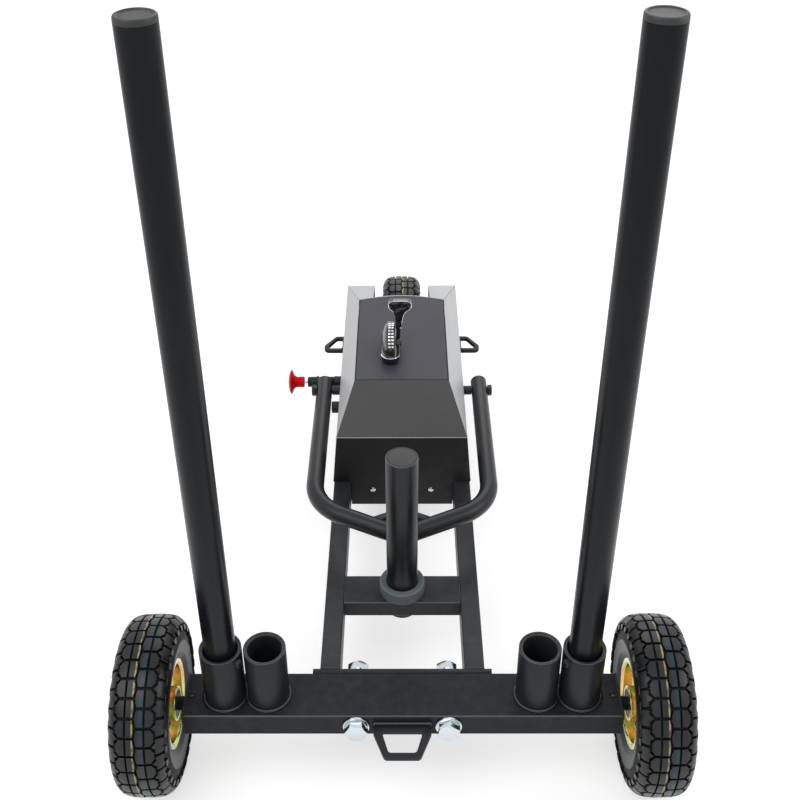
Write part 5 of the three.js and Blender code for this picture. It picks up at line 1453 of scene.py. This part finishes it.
@dataclass
class Tyre:
    """A pneumatic tyre with staggered blocks on its tread, modelled at the row's middle."""

    crown: Crown = field(default_factory=Crown)
    pitches: int = 30
    groove: float = 0.0046
    root: float = 0.0056
    gap: float = 0.0019
    saw: float = 0.0018
    teeth: int = 3
    ease: float = 0.0007

    @property
    def pitch(self) -> float:
        """Length of one pitch at the crown."""
        return math.tau * self.crown.crown_radius / self.pitches

    def _zigzag(self, place: float, start: float, end: float) -> list[Row]:
        """Draws a saw-toothed edge at a place across, between two places around."""
        count = self.teeth * 2
        return [(place + self.saw * (1 if step % 2 else -0.2), start + (end - start) * step / count)
                for step in range(count + 1)]

    def block_outlines(self) -> list[list[Row]]:
        """Draws the blocks of one pitch on the tyre's right half, as flat outlines.

        Returns:
            Outlines with distance from the middle and distance around.
        """
        half, gap = self.pitch / 2, self.gap
        end = half - gap
        outer, cut, sipe, split, side, lip = 0.0262, 0.0052, 0.0120, 0.0143, 0.0415, 0.0438
        edge, notch = outer + 0.0022, cut * 0.75
        centre = [(0.0022, -end), (0.0004, -end * 0.35), (0.0004, end * 0.35), (0.0022, end), (sipe, end),
                  (sipe, -end)]
        middle = [(split, -end), (outer - cut * 0.8, -end), *self._zigzag(outer, cut - end, end - cut),
                  (outer - cut * 0.8, end), (split, end)]
        shoulder = [(outer - 0.0025, half), *self._zigzag(edge, half + notch, 2 * half - gap),
                    (side, 2 * half - gap), (lip, 2 * half - gap * 2.5), (lip, half * 1.35), (side, half * 1.2),
                    (side, half * 0.8), (lip, half * 0.65), (lip, gap * 2.5), (side, gap),
                    *self._zigzag(edge, gap, half - notch)]
        lug = [(0.0452, -half * 0.55), (0.0452, half * 0.55), (0.0528, half * 0.36), (0.0528, -half * 0.36)]
        return [centre, middle, shoulder, lug]

    def _raised(self, outline: list[Row]) -> Piece:
        """Raises one tread block from its flat outline, with its top edges eased.

        Args:
            outline: the block's corners.

        Returns:
            The block, still flat.
        """
        piece = traced("tread_block", [Vector((u, s, -self.root)) for u, s in outline], True)
        with editing(piece):
            bpy.ops.mesh.edge_face_add()
            bpy.ops.mesh.extrude_region_move(TRANSFORM_OT_translate={"value": (0.0, 0.0, self.root)})
            choose_faces(piece, lambda middle, normal: middle.z > -1e-6)
            bpy.ops.mesh.bevel(offset=self.ease, segments=1, affect="EDGES")
            bpy.ops.mesh.select_all(action="SELECT")
            bpy.ops.mesh.normals_make_consistent(inside=False)
        return piece

    def _sliced(self, piece: Piece) -> None:
        """Cuts the flat blocks across and along, so that they bend on the crown."""
        with editing(piece):
            for quarter in range(-3, 8):
                bpy.ops.mesh.select_all(action="SELECT")
                bpy.ops.mesh.bisect(plane_co=(0.0, quarter * self.pitch / 8, 0.0), plane_no=(0.0, 1.0, 0.0))
            for place in (0.007, 0.0195, 0.031, 0.0345, 0.038):
                bpy.ops.mesh.select_all(action="SELECT")
                bpy.ops.mesh.bisect(plane_co=(place, 0.0, 0.0), plane_no=(1.0, 0.0, 0.0))

    def _wrapped(self, piece: Piece, way: int, shift: float) -> None:
        """Bends flat blocks onto the crown of a tyre that stands at the row's middle.

        Args:
            piece: the flat blocks.
            way: 1 for the right half, -1 for the left.
            shift: how far around the tyre the blocks move.
        """
        for vert in piece.data.vertices:
            x, r, across, up = self.crown.at(vert.co.x)
            lift = vert.co.z
            angle = (vert.co.y + shift) / self.crown.crown_radius
            radius = r + up * lift
            vert.co = Vector(((x + across * lift) * way, math.sin(angle) * radius, math.cos(angle) * radius))
        if way < 0:
            with editing(piece):
                bpy.ops.mesh.normals_make_consistent(inside=False)

    def _tread(self) -> Piece:
        """Builds the whole tread from one pitch.

        Returns:
            Every block, around the row's middle.
        """
        flat = joined("tread", [self._raised(outline) for outline in self.block_outlines()])
        self._sliced(flat)
        other = copied(flat)
        self._wrapped(flat, 1, 0.0)
        self._wrapped(other, -1, self.pitch / 2)
        tread = joined("tread", [flat, other])
        share = (self.pitches - 1) / self.pitches
        with editing(tread):
            bpy.ops.mesh.spin(steps=self.pitches - 1, dupli=True, angle=math.tau * share, center=(0, 0, 0),
                              axis=(1.0, 0.0, 0.0))
        return smooth(tread, 25)

    def _carcass(self) -> Piece:
        """Turns the tyre's body under the blocks, with its sidewall rings and beads.

        Returns:
            The carcass.
        """
        half: list[Row] = []
        for step in range(15):
            x, r, across, up = self.crown.at(0.053 * step / 14)
            half.append((x - across * self.groove, r - up * self.groove))
        half += [(0.0388, 0.0900), (0.0396, 0.0886), (0.0392, 0.0866), (0.0385, 0.0852), (0.0379, 0.0800),
                 (0.0370, 0.0764), (0.0374, 0.0752), (0.0371, 0.0738), (0.0358, 0.0722), (0.0334, 0.0690),
                 (0.0312, 0.0668), (0.0302, 0.0655), (0.0302, 0.0585)]
        inside = [(0.0245, 0.0585), (0.0320, 0.0780), (0.0320, 0.0905), (0.024, 0.1145), (0.0, 0.118)]
        ring = half + inside
        rows = ring + [(-x, r) for x, r in reversed(ring[1:-1])]
        return turned("carcass", rows, (0.0, 0.0, 0.0), Axis.X, 104, True)

    def build(self) -> Piece:
        """Builds a tyre at the row's middle, joined into one piece, with its faces numbered."""
        piece = joined("tyre", [self._carcass(), self._tread()])
        line = self.crown.places[::4]
        for face in piece.data.polygons:
            x, r = abs(face.center.x), math.hypot(face.center.y, face.center.z)
            # Faces below the crown take zone 1, the painted groove shade; faces low on the sidewall take zone 2.
            in_groove_shade = min((x - spot[1]) ** 2 + (r - spot[2]) ** 2 for spot in line) > 0.0012 ** 2
            face.material_index = 2 if r < 0.0895 else 1 if in_groove_shade else 0
        return piece


@dataclass
class Wheels:
    """The three wheels: tyres, rims and bearings."""

    dresser: Dresser
    flange: float = 0.065
    seat: float = 0.058
    well: float = 0.051
    sheet: float = 0.0025
    track: float = 0.3635
    hub_in: float = 0.035
    hub_out: float = 0.027
    bearing: float = 0.0208
    bearing_width: float = 0.013
    seal: Row = (0.0106, 0.0198)
    yellow: Point = (0.42, 0.36, 0.15)
    teal: Point = (0.0015, 0.036, 0.045)

    def build(self) -> None:
        """Builds one of each piece and copies it to every wheel."""
        tyre = Tyre().build()
        rim = self._rim()
        bearing = self._bearings()
        rear = ((-0.0029, 0.0009, self.yellow, 0.85), (0.0085, 0.0026, self.teal, 0.85))
        front = ((0.0025, 0.0011, self.yellow, 0.85),)
        for name, x, y, way, lines in (("rear_left", -self.track, REAR_AXLE, 1, rear),
                                       ("rear_right", self.track, REAR_AXLE, -1, rear),
                                       ("front", 0.0, FRONT_AXLE, 1, front)):
            rubber = TyreRubber(f"{name}_tyre_rubber", "tyre_rubber", x, lines)
            body = f"{name}_wheel"
            self._placed(tyre, f"{name}_block_tyre", x, y, 1, body, rubber, [f"{name}_tyre"])
            self._placed(rim, f"{name}_wheel_rim", x, y, way, body, GOLD_ZINC, [f"{name}_rim"])
            self._placed(bearing, f"{name}_hub_bearings", x, y, way, "frame", GROUND_STEEL,
                         [f"{name}_bearings"])
        for sample in (tyre, rim, bearing):
            bpy.data.objects.remove(sample)

    def _placed(
        self,
        sample: Piece,
        name: str,
        x: float,
        y: float,
        way: int,
        body: str,
        finish: Finish,
        nodes: Sequence[str],
    ) -> None:
        """Copies a sample to a wheel.

        Args:
            sample: the piece at the row's middle.
            name: the copy's name.
            x: the wheel's place across.
            y: the wheel's place along.
            way: -1 to turn the copy about, so that its long hub faces the frame.
            body: the body that it rides on.
            finish: its finish.
            nodes: the CAD nodes that it replaces.
        """
        twin = copied(sample)
        if way < 0:
            twin.rotation_euler = (0.0, 0.0, math.pi)
        twin.location = (x, y, AXLE_HEIGHT)
        settle(twin)
        twin.name = name
        # Tyres take two more zones: the painted groove shade and the sidewall's painted light.
        zones = (GROOVE_SHADE_RUBBER, SIDE_LIGHT_RUBBER) if isinstance(finish, TyreRubber) else ()
        self.dresser.dress(twin, body, finish, nodes, zones)
        if finish is GROUND_STEEL:
            self.dresser.paint(twin, SEAL_RUBBER, lambda middle, normal: self._is_seal(middle, y))

    def _is_seal(self, middle: Vector, y: float) -> bool:
        """Tells whether a face is on a bearing's seal."""
        radius = math.hypot(middle.y - y, middle.z - AXLE_HEIGHT)
        return self.seal[0] < radius < self.seal[1]

    def _rim(self) -> Piece:
        """A pressed rim with its dish and hub, around the row's middle."""
        hub, flat, half, dish = 0.025, self.sheet, 0.033, 0.0035
        well, base, seat, flange = half * 0.42, self.well - self.sheet, self.seat - self.sheet, self.flange
        face, bore, chamfer = dish + flat, self.bearing + 0.0008, 0.0008
        outside = [
            (self.hub_in, bore), (self.hub_in, hub - chamfer), (self.hub_in - chamfer, hub), (face + 0.004, hub),
            (face, hub + 0.004), (face + 0.002, 0.032), (face + 0.0045, 0.037), (face + 0.004, 0.042),
            (face, base - 0.003), (face + 0.003, base), (well - flat, base), (well + flat, seat),
            (half - 0.003, seat), (half, self.seat), (half, flange - 0.0012), (half - 0.0012, flange),
            (half - flat, flange - 0.0008), (half - flat, self.seat), (well, self.seat),
            (well - flat * 2, self.well),
        ]
        inside = [
            (-well + flat * 2, self.well), (-well, self.seat), (-half + flat, self.seat),
            (-half + flat, flange - 0.0008), (-half + 0.0012, flange), (-half, flange - 0.0012),
            (-half, self.seat), (-half + 0.003, seat), (-well - flat, seat), (-well + flat, base),
            (dish - 0.003, base), (dish, base - 0.003), (dish + 0.004, 0.042), (dish + 0.0045, 0.037),
            (dish + 0.002, 0.032), (dish, hub + 0.004), (dish - 0.004, hub), (-self.hub_out + chamfer, hub),
            (-self.hub_out, hub - chamfer),
        ]
        rows = [(-self.hub_out, bore), *outside, *inside]
        return turned("rim", rows, (0.0, 0.0, 0.0), Axis.X, 96, True, 0.0004)

    def _bearings(self) -> Piece:
        """The two sealed bearings with their spacer, around the row's middle."""
        rows = []
        for end, way in ((-self.hub_out, 1), (self.hub_in, -1)):
            face, back = end + way * 0.0006, end + way * self.bearing_width
            rows += [(end, 0.0078), (end, 0.0105), (face, 0.0108), (face, 0.0195), (end, 0.0199),
                     (end, self.bearing), (back, self.bearing), (back, 0.0115)][::way]
        return turned("bearings", rows, (0.0, 0.0, 0.0), Axis.X, 72, True)


@dataclass
class Housing:
    """The sheet-metal covers over the brake."""

    dresser: Dresser
    nodes: dict[str, Piece]
    edge: float = 0.0006
    seam: float = 0.0012
    fold: float = 0.2485
    fold_reach: float = 0.1143
    fold_place: float = -0.0237
    fold_line: float = 0.0012
    lip_line: float = 0.0034
    lip_height: float = 0.3160

    def build(self) -> None:
        """Dresses each cover from its own sheet."""
        for side in Side:
            self._cover(f"housing_shell_{side.word}", f"side_shell_{side.word}", SILVER_COAT)
        self._cover("housing_front_cover", "front_cover_sheet", SILVER_COAT)
        self._outline(self._cover("housing_top_cover", "top_cover_sheet", TOP_COAT))
        rear = self._cover("housing_rear_cover", "rear_cover_sheet", SLOPE_COAT)
        # The upright skirt of the rear cover gets painted shade.
        self.dresser.paint(rear, SKIRT_SHADE_COAT,
                           lambda middle, normal: abs(normal.y) > 0.985 and middle.z < self.fold)
        # A thin pale tube along the fold is a painted highlight of the bend.
        ends = [Vector((side.value * self.fold_reach, self.fold_place, self.fold + 0.0002)) for side in Side]
        self.dresser.dress(tube_on_path("rear_cover_fold", ends, self.fold_line, 12), "frame", BEND_HIGHLIGHT_COAT)
        self._lip()

    def _outline(self, cover: Piece) -> None:
        """Paints a dark band in from the border of a cover's flat top, as painted shade of the seam between covers.

        Args:
            cover: the dressed cover.
        """
        with editing(cover):
            choose_faces(cover, lambda middle, normal: normal.z > 0.9999)
            bpy.ops.mesh.inset(thickness=self.seam)
        inner = {tuple(face.center) for face in cover.data.polygons if face.select}
        self.dresser.paint(cover, SEAM_SHADE_COAT,
                           lambda middle, normal: normal.z > 0.9999 and tuple(middle) not in inner)
        evened(cover)

    def _lip(self) -> None:
        """The front cover's bright edge, along the front of the top cover."""
        sheet = self.nodes["housing_top_cover"].data
        spots = {(round(vert.co.x, 4), round(vert.co.y, 4)) for vert in sheet.vertices if vert.co.y > 0.3}
        points = [Vector((x, y + 0.0008, self.lip_height)) for x, y in sorted(spots)]
        self.dresser.dress(tube_on_path("front_cover_lip", points, self.lip_line, 12), "frame", SILVER_COAT)

    def _cover(self, node: str, name: str, coat: Coat) -> Piece:
        """Copies one cover with eased edges and dresses the copy."""
        return self.dresser.dress(sheet_copy(self.nodes[node], name, self.edge), "frame", coat, [node])


@dataclass
class PullHandle:
    """The V-shaped handle with its eye, bolts and pull pin."""

    dresser: Dresser
    diameter: float = 0.030
    pivot: Point = (0.0, 0.146, 0.2286)
    spread: float = 0.293
    bends: tuple[float, float, float] = (0.085, 0.060, 0.085)
    slant: float = math.tan(math.radians(26.8))
    reach: float = 0.3903

    def build(self) -> None:
        """Builds the handle and what it carries."""
        self._tubing()
        self._eye()
        for side in Side:
            self._pivot_bolt(side)
        self._pull_pin()

    def _path(self) -> list[Vector]:
        """The middle line of the bent tube."""
        y, z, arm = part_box("pull_handle")[1].y, self.pivot[2], self.spread / 2
        bend = self.bends[1]
        apex = self.pivot[1] - self.reach - (bend / math.cos(math.atan(self.slant)) - bend)
        end = apex + arm * self.slant
        corners = [Vector((-arm, y, z)), Vector((-arm, end, z)), Vector((0.0, apex, z)), Vector((arm, end, z)),
                   Vector((arm, y, z))]
        return arc_path(corners, self.bends)

    def _tubing(self) -> None:
        """The bent tube with rounded plugs in its ends."""
        tube = tube_on_path("handle_tube", self._path(), self.diameter, 32)
        softened(tube, 0.004, 4, 50)
        self.dresser.dress(tube, "pull_handle", HANDLE_COAT, ["pull_handle"])

    def _eye(self) -> None:
        """The tow eye welded in the point of the handle."""
        low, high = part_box("handle_tow_eye")
        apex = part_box("pull_handle")[0].y + self.diameter / 2
        root_half = (high.x - low.x) / 2 + 0.004
        root = apex + root_half * self.slant + 0.009
        tip_half, mouth_half, bar = 0.018, 0.0385, 0.0115
        outer = rounded_outline(
            [(-root_half, root), (0.0, apex + 0.006), (root_half, root), (tip_half, high.y), (-tip_half, high.y)],
            [0.0, 0.03, 0.0, 0.006, 0.006])
        mouth, tip, end = root - 0.0065, high.y - bar, tip_half - 0.0015
        hole = rounded_outline([(-mouth_half, mouth), (0.0, apex + bar), (mouth_half, mouth), (end, tip), (-end, tip)],
                               [0.001, 0.02, 0.001, 0.004, 0.004])
        plate = flat_plate("handle_eye_plate", [outer, hole], low.z, high.z, 0.0011)
        self.dresser.dress(plate, "pull_handle", FRAME_COAT, ["handle_tow_eye"])
        # Painted highlight on the plate's rounded edges.
        self.dresser.paint(plate, EDGE_HIGHLIGHT_COAT, lambda middle, normal: 0.2 < normal.z < 0.95)

    def _pivot_bolt(self, side: Side) -> None:
        """The bolt that one arm swings on, with its washer face and nut."""
        low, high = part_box(f"handle_pivot_bolt_{side.word}")
        out = side.value
        far = max(abs(low.x), abs(high.x))
        near = min(abs(low.x), abs(high.x))
        _, y, z = self.pivot
        head = hexagon("pivot_head", (out * (far - 0.004), y, z), Axis.X, 0.018, 0.008, out)
        nut = hexagon("pivot_nut", (out * (near + 0.0028), y, z), Axis.X, 0.018, 0.005, 0)
        rows = [(near + 0.001, 0.0), (near + 0.001, 0.0058), (far - 0.006, 0.0058), (far - 0.006, 0.0)]
        shank = turned("pivot_shank", flipped(rows, out), (0.0, y, z), Axis.X, 36, False)
        piece = joined(f"pivot_bolt_{side.word}", [head, nut, shank])
        self.dresser.dress(piece, "frame", FRAME_COAT, [f"handle_pivot_bolt_{side.word}"])

    def _pull_pin(self) -> None:
        """The spring pin's barrel, pin and knob across the left arm."""
        low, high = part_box("pin_barrel")
        y, z = (low.y + high.y) / 2, (low.z + high.z) / 2
        outer, bore = (high.z - low.z) / 2, 0.0046
        rows = [(high.x, bore), (high.x, outer), (low.x + 0.006, outer), (low.x + 0.005, outer - 0.001),
                (low.x + 0.004, outer), (low.x + 0.0015, outer), (low.x, outer - 0.0015), (low.x, bore)]
        barrel = turned("pin_sleeve", rows, (0.0, y, z), Axis.X, 64, True, 0.0004)
        arm = -(self.spread + self.diameter) / 2 - 0.0002
        bead = weld_ring("pin_weld", (arm, y, z), outer + 0.0004, 0.0018, Axis.X)
        self.dresser.dress(barrel, "pull_handle", FRAME_COAT, ["pin_barrel"])
        self.dresser.dress(joined("pin_sleeve_weld", [bead]), "pull_handle", WELD_COAT)
        low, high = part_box("locking_pin")
        step, thick, thin = -0.1795, 0.004, 0.0031
        rows = [(high.x, 0.0), (high.x, 0.0027), (high.x - 0.0013, thick), (step, thick), (step, thin), (low.x, thin),
                (low.x, 0.0)]
        pin = turned("locking_pin_steel", rows, (0.0, y, z), Axis.X, 48, False)
        self.dresser.dress(pin, "locking_pin", GROUND_STEEL, ["locking_pin"])
        low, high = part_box("pin_knob")
        neck = 0.0105
        reach = high.x - low.x
        shape = [(0.0, 0.0043), (0.0, neck - 0.001), (0.03, neck), (0.42, neck * 0.97), (0.52, neck * 1.03),
                 (0.60, neck * 1.2), (0.66, neck * 1.5), (0.71, 0.0195), (0.75, 0.0222), (0.79, 0.0234),
                 (0.83, 0.0228), (0.88, 0.0200), (0.93, 0.0155), (0.97, 0.0100), (1.0, 0.0)]
        rows = [(high.x - reach * share, radius) for share, radius in shape]
        knob = turned("knob_grip", rows, (0.0, y, z), Axis.X, 72, False)
        self.dresser.dress(knob, "locking_pin", GLOSS_RED, ["pin_knob"])


@dataclass
class BrakeLever:
    """The level lever on its toothed quadrant."""

    dresser: Dresser
    radius: float = 0.040
    tooth: float = 0.0042
    teeth: int = 9
    first_tooth: float = 21.0
    tooth_step: float = 9.06
    columns: Row = (0.0148, 0.0206)
    bowl: float = 0.0157
    overhang: float = 0.0105
    arm_face: float = -0.0116
    hub_width: float = 0.008
    axis_place: float = 0.157

    def build(self) -> None:
        """Builds the quadrant pod, its teeth and the lever."""
        low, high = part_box("lever_quadrant")
        self.axis = (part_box("resistance_lever")[0].x, self.axis_place, low.z + 0.0123)
        self._pod(low, high)
        self._teeth(low)
        self._lever()

    def _pod(self, low: Vector, high: Vector) -> None:
        """The rounded half disc and its oval foot.

        Args:
            low: the node's lowest corner.
            high: its highest corner.
        """
        y, z = self.axis[1], self.axis[2]
        left, right = low.x, low.x + 0.025
        size = self.radius - 0.001
        dome = ((0.0, 0.0), (0.0004, 0.34), (0.0014, 0.52), (0.0032, 0.68), (0.0056, 0.82), (0.0082, 0.92),
                (0.0102, 0.975), (0.0112, 1.0))
        rows = [(left + along, size * share) for along, share in dome]
        rows += [(right - 0.0035, size), (right - 0.0012, size - 0.0012), (right, size - 0.004), (right, 0.0)]
        disc = turned("quadrant_disc", rows, (0.0, y, z), Axis.X, 96, False)
        with editing(disc):
            bpy.ops.mesh.bisect(plane_co=(0.0, y, low.z + 0.001), plane_no=(0.0, 0.0, -1.0), clear_outer=True,
                                use_fill=True)
        rear, brim = low.y - self.overhang, low.z + self.bowl
        corner = (high.x - low.x) / 2 - 0.0004
        outline = rounded_outline([(low.x, rear), (high.x, rear), (high.x, high.y), (low.x, high.y)], [corner] * 4, 12)
        foot = flat_plate("pod_foot", [outline], low.z, brim)
        with editing(foot):
            choose_edges(foot, lambda middle, way: middle.z < low.z + 1e-5)
            bpy.ops.mesh.bevel(offset=self.bowl * 0.45, segments=6, affect="EDGES")
        softened(foot, 0.0009, 2, 50)
        pod = joined("lever_pod", [disc, foot])
        self.dresser.dress(pod, "frame", GLOSS_BLACK, ["lever_quadrant"])
        # The dome's side face gets the painted grey highlight.
        self.dresser.paint(pod, DOME_HIGHLIGHT_GREY, lambda middle, normal: left + 0.0014 < middle.x < left + 0.0082
                           and middle.z > brim + 0.001 and normal.x < -0.2)
        line = [Vector((x, w, brim - 0.0004)) for x, w in outline if w < rear + corner + 1e-4]
        ring = tube_on_path("pod_line", line, 0.0012, 8)
        self.dresser.dress(joined("pod_trim", [ring]), "frame", TOOTH_CHROME)

    def _teeth(self, low: Vector) -> None:
        """Two columns of bright teeth over the rear half of the disc."""
        y, z = self.axis[1], self.axis[2]
        made = []
        half, reach = self.tooth / 2, self.radius - 0.0008
        for step in range(self.teeth):
            angle = math.radians(self.first_tooth + self.tooth_step * step)
            for column in self.columns:
                tooth = block("tooth", (-half, -half * 0.8, -0.0012), (half, half * 0.8, 0.0009), 0.0004, 2)
                tooth.rotation_euler = (math.pi / 2 - angle, 0.0, 0.0)
                tooth.location = (low.x + column, y - math.cos(angle) * reach, z + math.sin(angle) * reach)
                made.append(settle(tooth))
        self.dresser.dress(joined("quadrant_teeth", made), "frame", TOOTH_CHROME)

    @staticmethod
    def _swell(height: float) -> float:
        """How far the grip has thickened at a height, from 0 to 1."""
        return max(0.0, min(1.0, (height - 0.394) / 0.010))

    def _lever(self) -> None:
        """The lever's hub, stem, oval grip, and its screw."""
        y, z = self.axis[1], self.axis[2]
        spot, half_thick = self.arm_face + self.hub_width, 0.0042
        rows = [(self.arm_face, 0.0), (self.arm_face, 0.0115), (spot, 0.0115), (spot, 0.0)]
        hub = turned("lever_hub", rows, (0.0, y, z), Axis.X, 64, False, 0.0009)
        # Height, middle across and half the width of the lever, from its foot to the grip's top.
        widths = [
            (0.3296, -0.0072, 0.0036), (0.3560, -0.0062, 0.0038), (0.3720, -0.0056, 0.0056), (0.3878, -0.0046, 0.0076),
            (0.3935, -0.0042, 0.0090), (0.3985, -0.0038, 0.0114), (0.4015, -0.0034, 0.0142), (0.4040, -0.0030, 0.0174),
            (0.4068, -0.0030, 0.0199), (0.4100, -0.0030, 0.0211), (0.4135, -0.0030, 0.0213), (0.4170, -0.0030, 0.0205),
            (0.4197, -0.0030, 0.0184), (0.4214, -0.0030, 0.0152), (0.4222, -0.0030, 0.0116),
        ]
        outline = [(middle + half, height) for height, middle, half in widths]
        outline += [(middle - half, height) for height, middle, half in reversed(widths)]
        grip = cut_plate("lever_grip", [[(px, y - half_thick, pz) for px, pz in outline]],
                         (0.0, half_thick * 2, 0.0), 0.0014)
        for vert in grip.data.vertices:
            vert.co.y = y + (vert.co.y - y) * (1 + 0.3 * self._swell(vert.co.z))
        smooth(grip, 40)
        piece = joined("lever_arm", [hub, grip])
        self.dresser.dress(piece, "resistance_lever", GLOSS_BLACK, ["resistance_lever"])
        bead = [(middle + half * 0.97, height) for height, middle, half in widths[1:]]
        bead += [(middle - half * 0.97, height) for height, middle, half in reversed(widths[5:])]
        line = [Vector((px, y - 0.0041 - 0.0012 * self._swell(pz), pz)) for px, pz in bead]
        trim = tube_on_path("grip_trim", line, 0.0011, 8)
        rows = [(spot - 0.0004, 0.0), (spot - 0.0004, 0.0069), (spot + 0.0018, 0.0066), (spot + 0.0029, 0.0048),
                (spot + 0.003, 0.0)]
        screw = turned("lever_screw", rows, (0.0, y, z), Axis.X, 48, False)
        self.dresser.dress(screw, "resistance_lever", GLOSS_BLACK)
        rows = [(0.0, 0.0), (-0.0014, 0.0), (-0.0012, 0.0012), (0.0, 0.0018)]
        stud = turned("lever_stud", rows, (-0.0018, y - 0.0041, 0.3635), Axis.Y, 24, False)
        self.dresser.dress(joined("lever_brightwork", [trim, stud]), "resistance_lever", TOOTH_CHROME)


@dataclass
class BrakeWorks:
    """What the housing hides: the CAD solids keep their shape and get their finishes."""

    dresser: Dresser
    nodes: dict[str, Piece]
    finishes: dict[str, object] = field(default_factory=lambda: {
        "pivot_plate_left": FRAME_COAT,
        "pivot_plate_right": FRAME_COAT,
        "front_axle": BRIGHT_ZINC,
        "rotor_shaft": BRIGHT_ZINC,
        "yoke_rod": BRIGHT_ZINC,
        "brake_cable": MATT_PLASTIC,
        "drive_belt": BELT_RUBBER,
        "rotor_bearings": GROUND_STEEL,
        "drive_pulley": TURNED_ALLOY,
        "brake_rotor": TURNED_ALLOY,
        "magnet_yoke": FRAME_COAT,
        "yoke_spring": GROUND_STEEL,
        "brake_wire": GROUND_STEEL,
        "pin_spring": GROUND_STEEL,
    })

    def build(self) -> None:
        """Paints each node of the brake."""
        for name, finish in self.finishes.items():
            node = self.nodes[name]
            node.data.materials.clear()
            node.data.materials.append(self.dresser.material(finish))
            log.info("%s: painted in place", name)


def seen_rays(tree: Tree) -> Node:
    """Adds nodes that tell the rays which show a surface, from the camera, a mirror or glass.

    Args:
        tree: the node tree of the material or the world.

    Returns:
        The node whose value is 1 for such a ray and 0 for any other.
    """
    path = add_node(tree, "ShaderNodeLightPath")
    seen = add_node(tree, "ShaderNodeMath", "MAXIMUM")
    shown = add_node(tree, "ShaderNodeMath", "MAXIMUM")
    wire(tree, (path, "Is Camera Ray", seen, 0), (path, "Is Glossy Ray", seen, 1), (seen, "Value", shown, 0),
         (path, "Is Transmission Ray", shown, 1))
    return shown


@dataclass
class Studio:
    """The pale floor, soft lamps, white surround and camera."""

    place: Point = (0.000811, -1.569883, 1.4682)
    turn: Point = (56.4398, 0.3101, 0.2220)
    lens: float = 50.299
    shift: Row = (0.00606, -0.06781)
    surround: float = 0.62
    floor_glow: float = 0.52
    floor_shade: float = 0.75

    def build(self) -> None:
        """Builds the whole studio."""
        self._camera()
        self._world()
        self._floor()
        self._lamp("key_softbox", (-1.6, -1.4, 2.9), (0.0, -0.1, 0.2), 2.2, 32.0)
        self._lamp("fill_softbox", (2.3, -0.6, 1.9), (0.0, -0.1, 0.3), 1.6, 18.0)
        self._lamp("back_softbox", (0.3, 2.6, 2.4), (0.0, 0.2, 0.2), 2.0, 18.0)
        bpy.context.scene.view_settings.view_transform = "Standard"

    def _camera(self) -> None:
        """The camera that the photograph was taken with."""
        data = bpy.data.cameras.new("photo_camera")
        data.sensor_width = 36.0
        data.sensor_fit = "HORIZONTAL"
        data.lens = self.lens
        data.shift_x, data.shift_y = self.shift
        data.clip_start = 0.05
        data.clip_end = 60.0
        camera = bpy.data.objects.new("photo_camera", data)
        camera.location = self.place
        camera.rotation_euler = tuple(math.radians(angle) for angle in self.turn)
        bpy.context.scene.collection.objects.link(camera)
        bpy.context.scene.camera = camera

    def _world(self) -> None:
        """A plain surround that is white where it is seen or mirrored."""
        world = bpy.data.worlds.new("studio_surround")
        bpy.context.scene.world = world
        world.use_nodes = True
        tree = world.node_tree
        background = tree.nodes["Background"]
        background.inputs["Color"].default_value = (1.0, 1.0, 1.0, 1.0)
        level = add_node(tree, "ShaderNodeMapRange", To_Min=self.surround, To_Max=1.0)
        wire(tree, (seen_rays(tree), "Value", level, "Value"), (level, "Result", background, "Strength"))

    def _floor(self) -> None:
        """A wide floor that stays white but keeps the shadow."""
        deselect()
        bpy.ops.mesh.primitive_plane_add(size=40.0, location=(0.0, 0.0, -0.0004))
        floor = settle(bpy.context.object)
        floor.name = "studio_floor"
        material = bpy.data.materials.new("studio_floor_paint")
        material.use_nodes = True
        tree = material.node_tree
        tree.nodes.clear()
        matt = add_node(tree, "ShaderNodeBsdfDiffuse", Color=(self.floor_shade,) * 3 + (1.0,))
        glow = add_node(tree, "ShaderNodeEmission")
        strength = add_node(tree, "ShaderNodeMath", "MULTIPLY")
        strength.inputs[1].default_value = self.floor_glow
        total = add_node(tree, "ShaderNodeAddShader")
        out = add_node(tree, "ShaderNodeOutputMaterial")
        wire(tree, (seen_rays(tree), "Value", strength, 0), (strength, "Value", glow, "Strength"),
             (matt, "BSDF", total, 0), (glow, "Emission", total, 1), (total, "Shader", out, "Surface"))
        floor.data.materials.append(material)

    def _lamp(self, name: str, place: Point, target: Point, size: float, watts: float) -> None:
        """Hangs a square softbox that looks at a target.

        Args:
            name: the lamp's name.
            place: where it hangs.
            target: where it points.
            size: length of its sides.
            watts: its power.
        """
        data = bpy.data.lights.new(name, "AREA")
        data.shape = "SQUARE"
        data.size = size
        data.energy = watts
        lamp = bpy.data.objects.new(name, data)
        lamp.location = place
        way = Vector(target) - Vector(place)
        lamp.rotation_euler = way.to_track_quat("-Z", "Y").to_euler()
        bpy.context.scene.collection.objects.link(lamp)


def main() -> None:
    """Loads the frame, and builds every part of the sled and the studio."""
    logging.basicConfig(level=logging.INFO, format="%(name)s: %(message)s")
    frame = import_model()
    dresser = Dresser()
    nodes = frame["nodes"]
    Studio().build()
    parts = (
        RearFrame(dresser), PoleSockets(dresser), PushPoles(dresser), PlatePost(dresser), TowEyes(dresser),
        Wheels(dresser), Housing(dresser, nodes), PullHandle(dresser), BrakeLever(dresser),
        BrakeWorks(dresser, nodes),
    )
    for part in parts:
        part.build()
        log.info("%s is built", type(part).__name__)
    deselect()


if __name__ == "__main__":
    main()
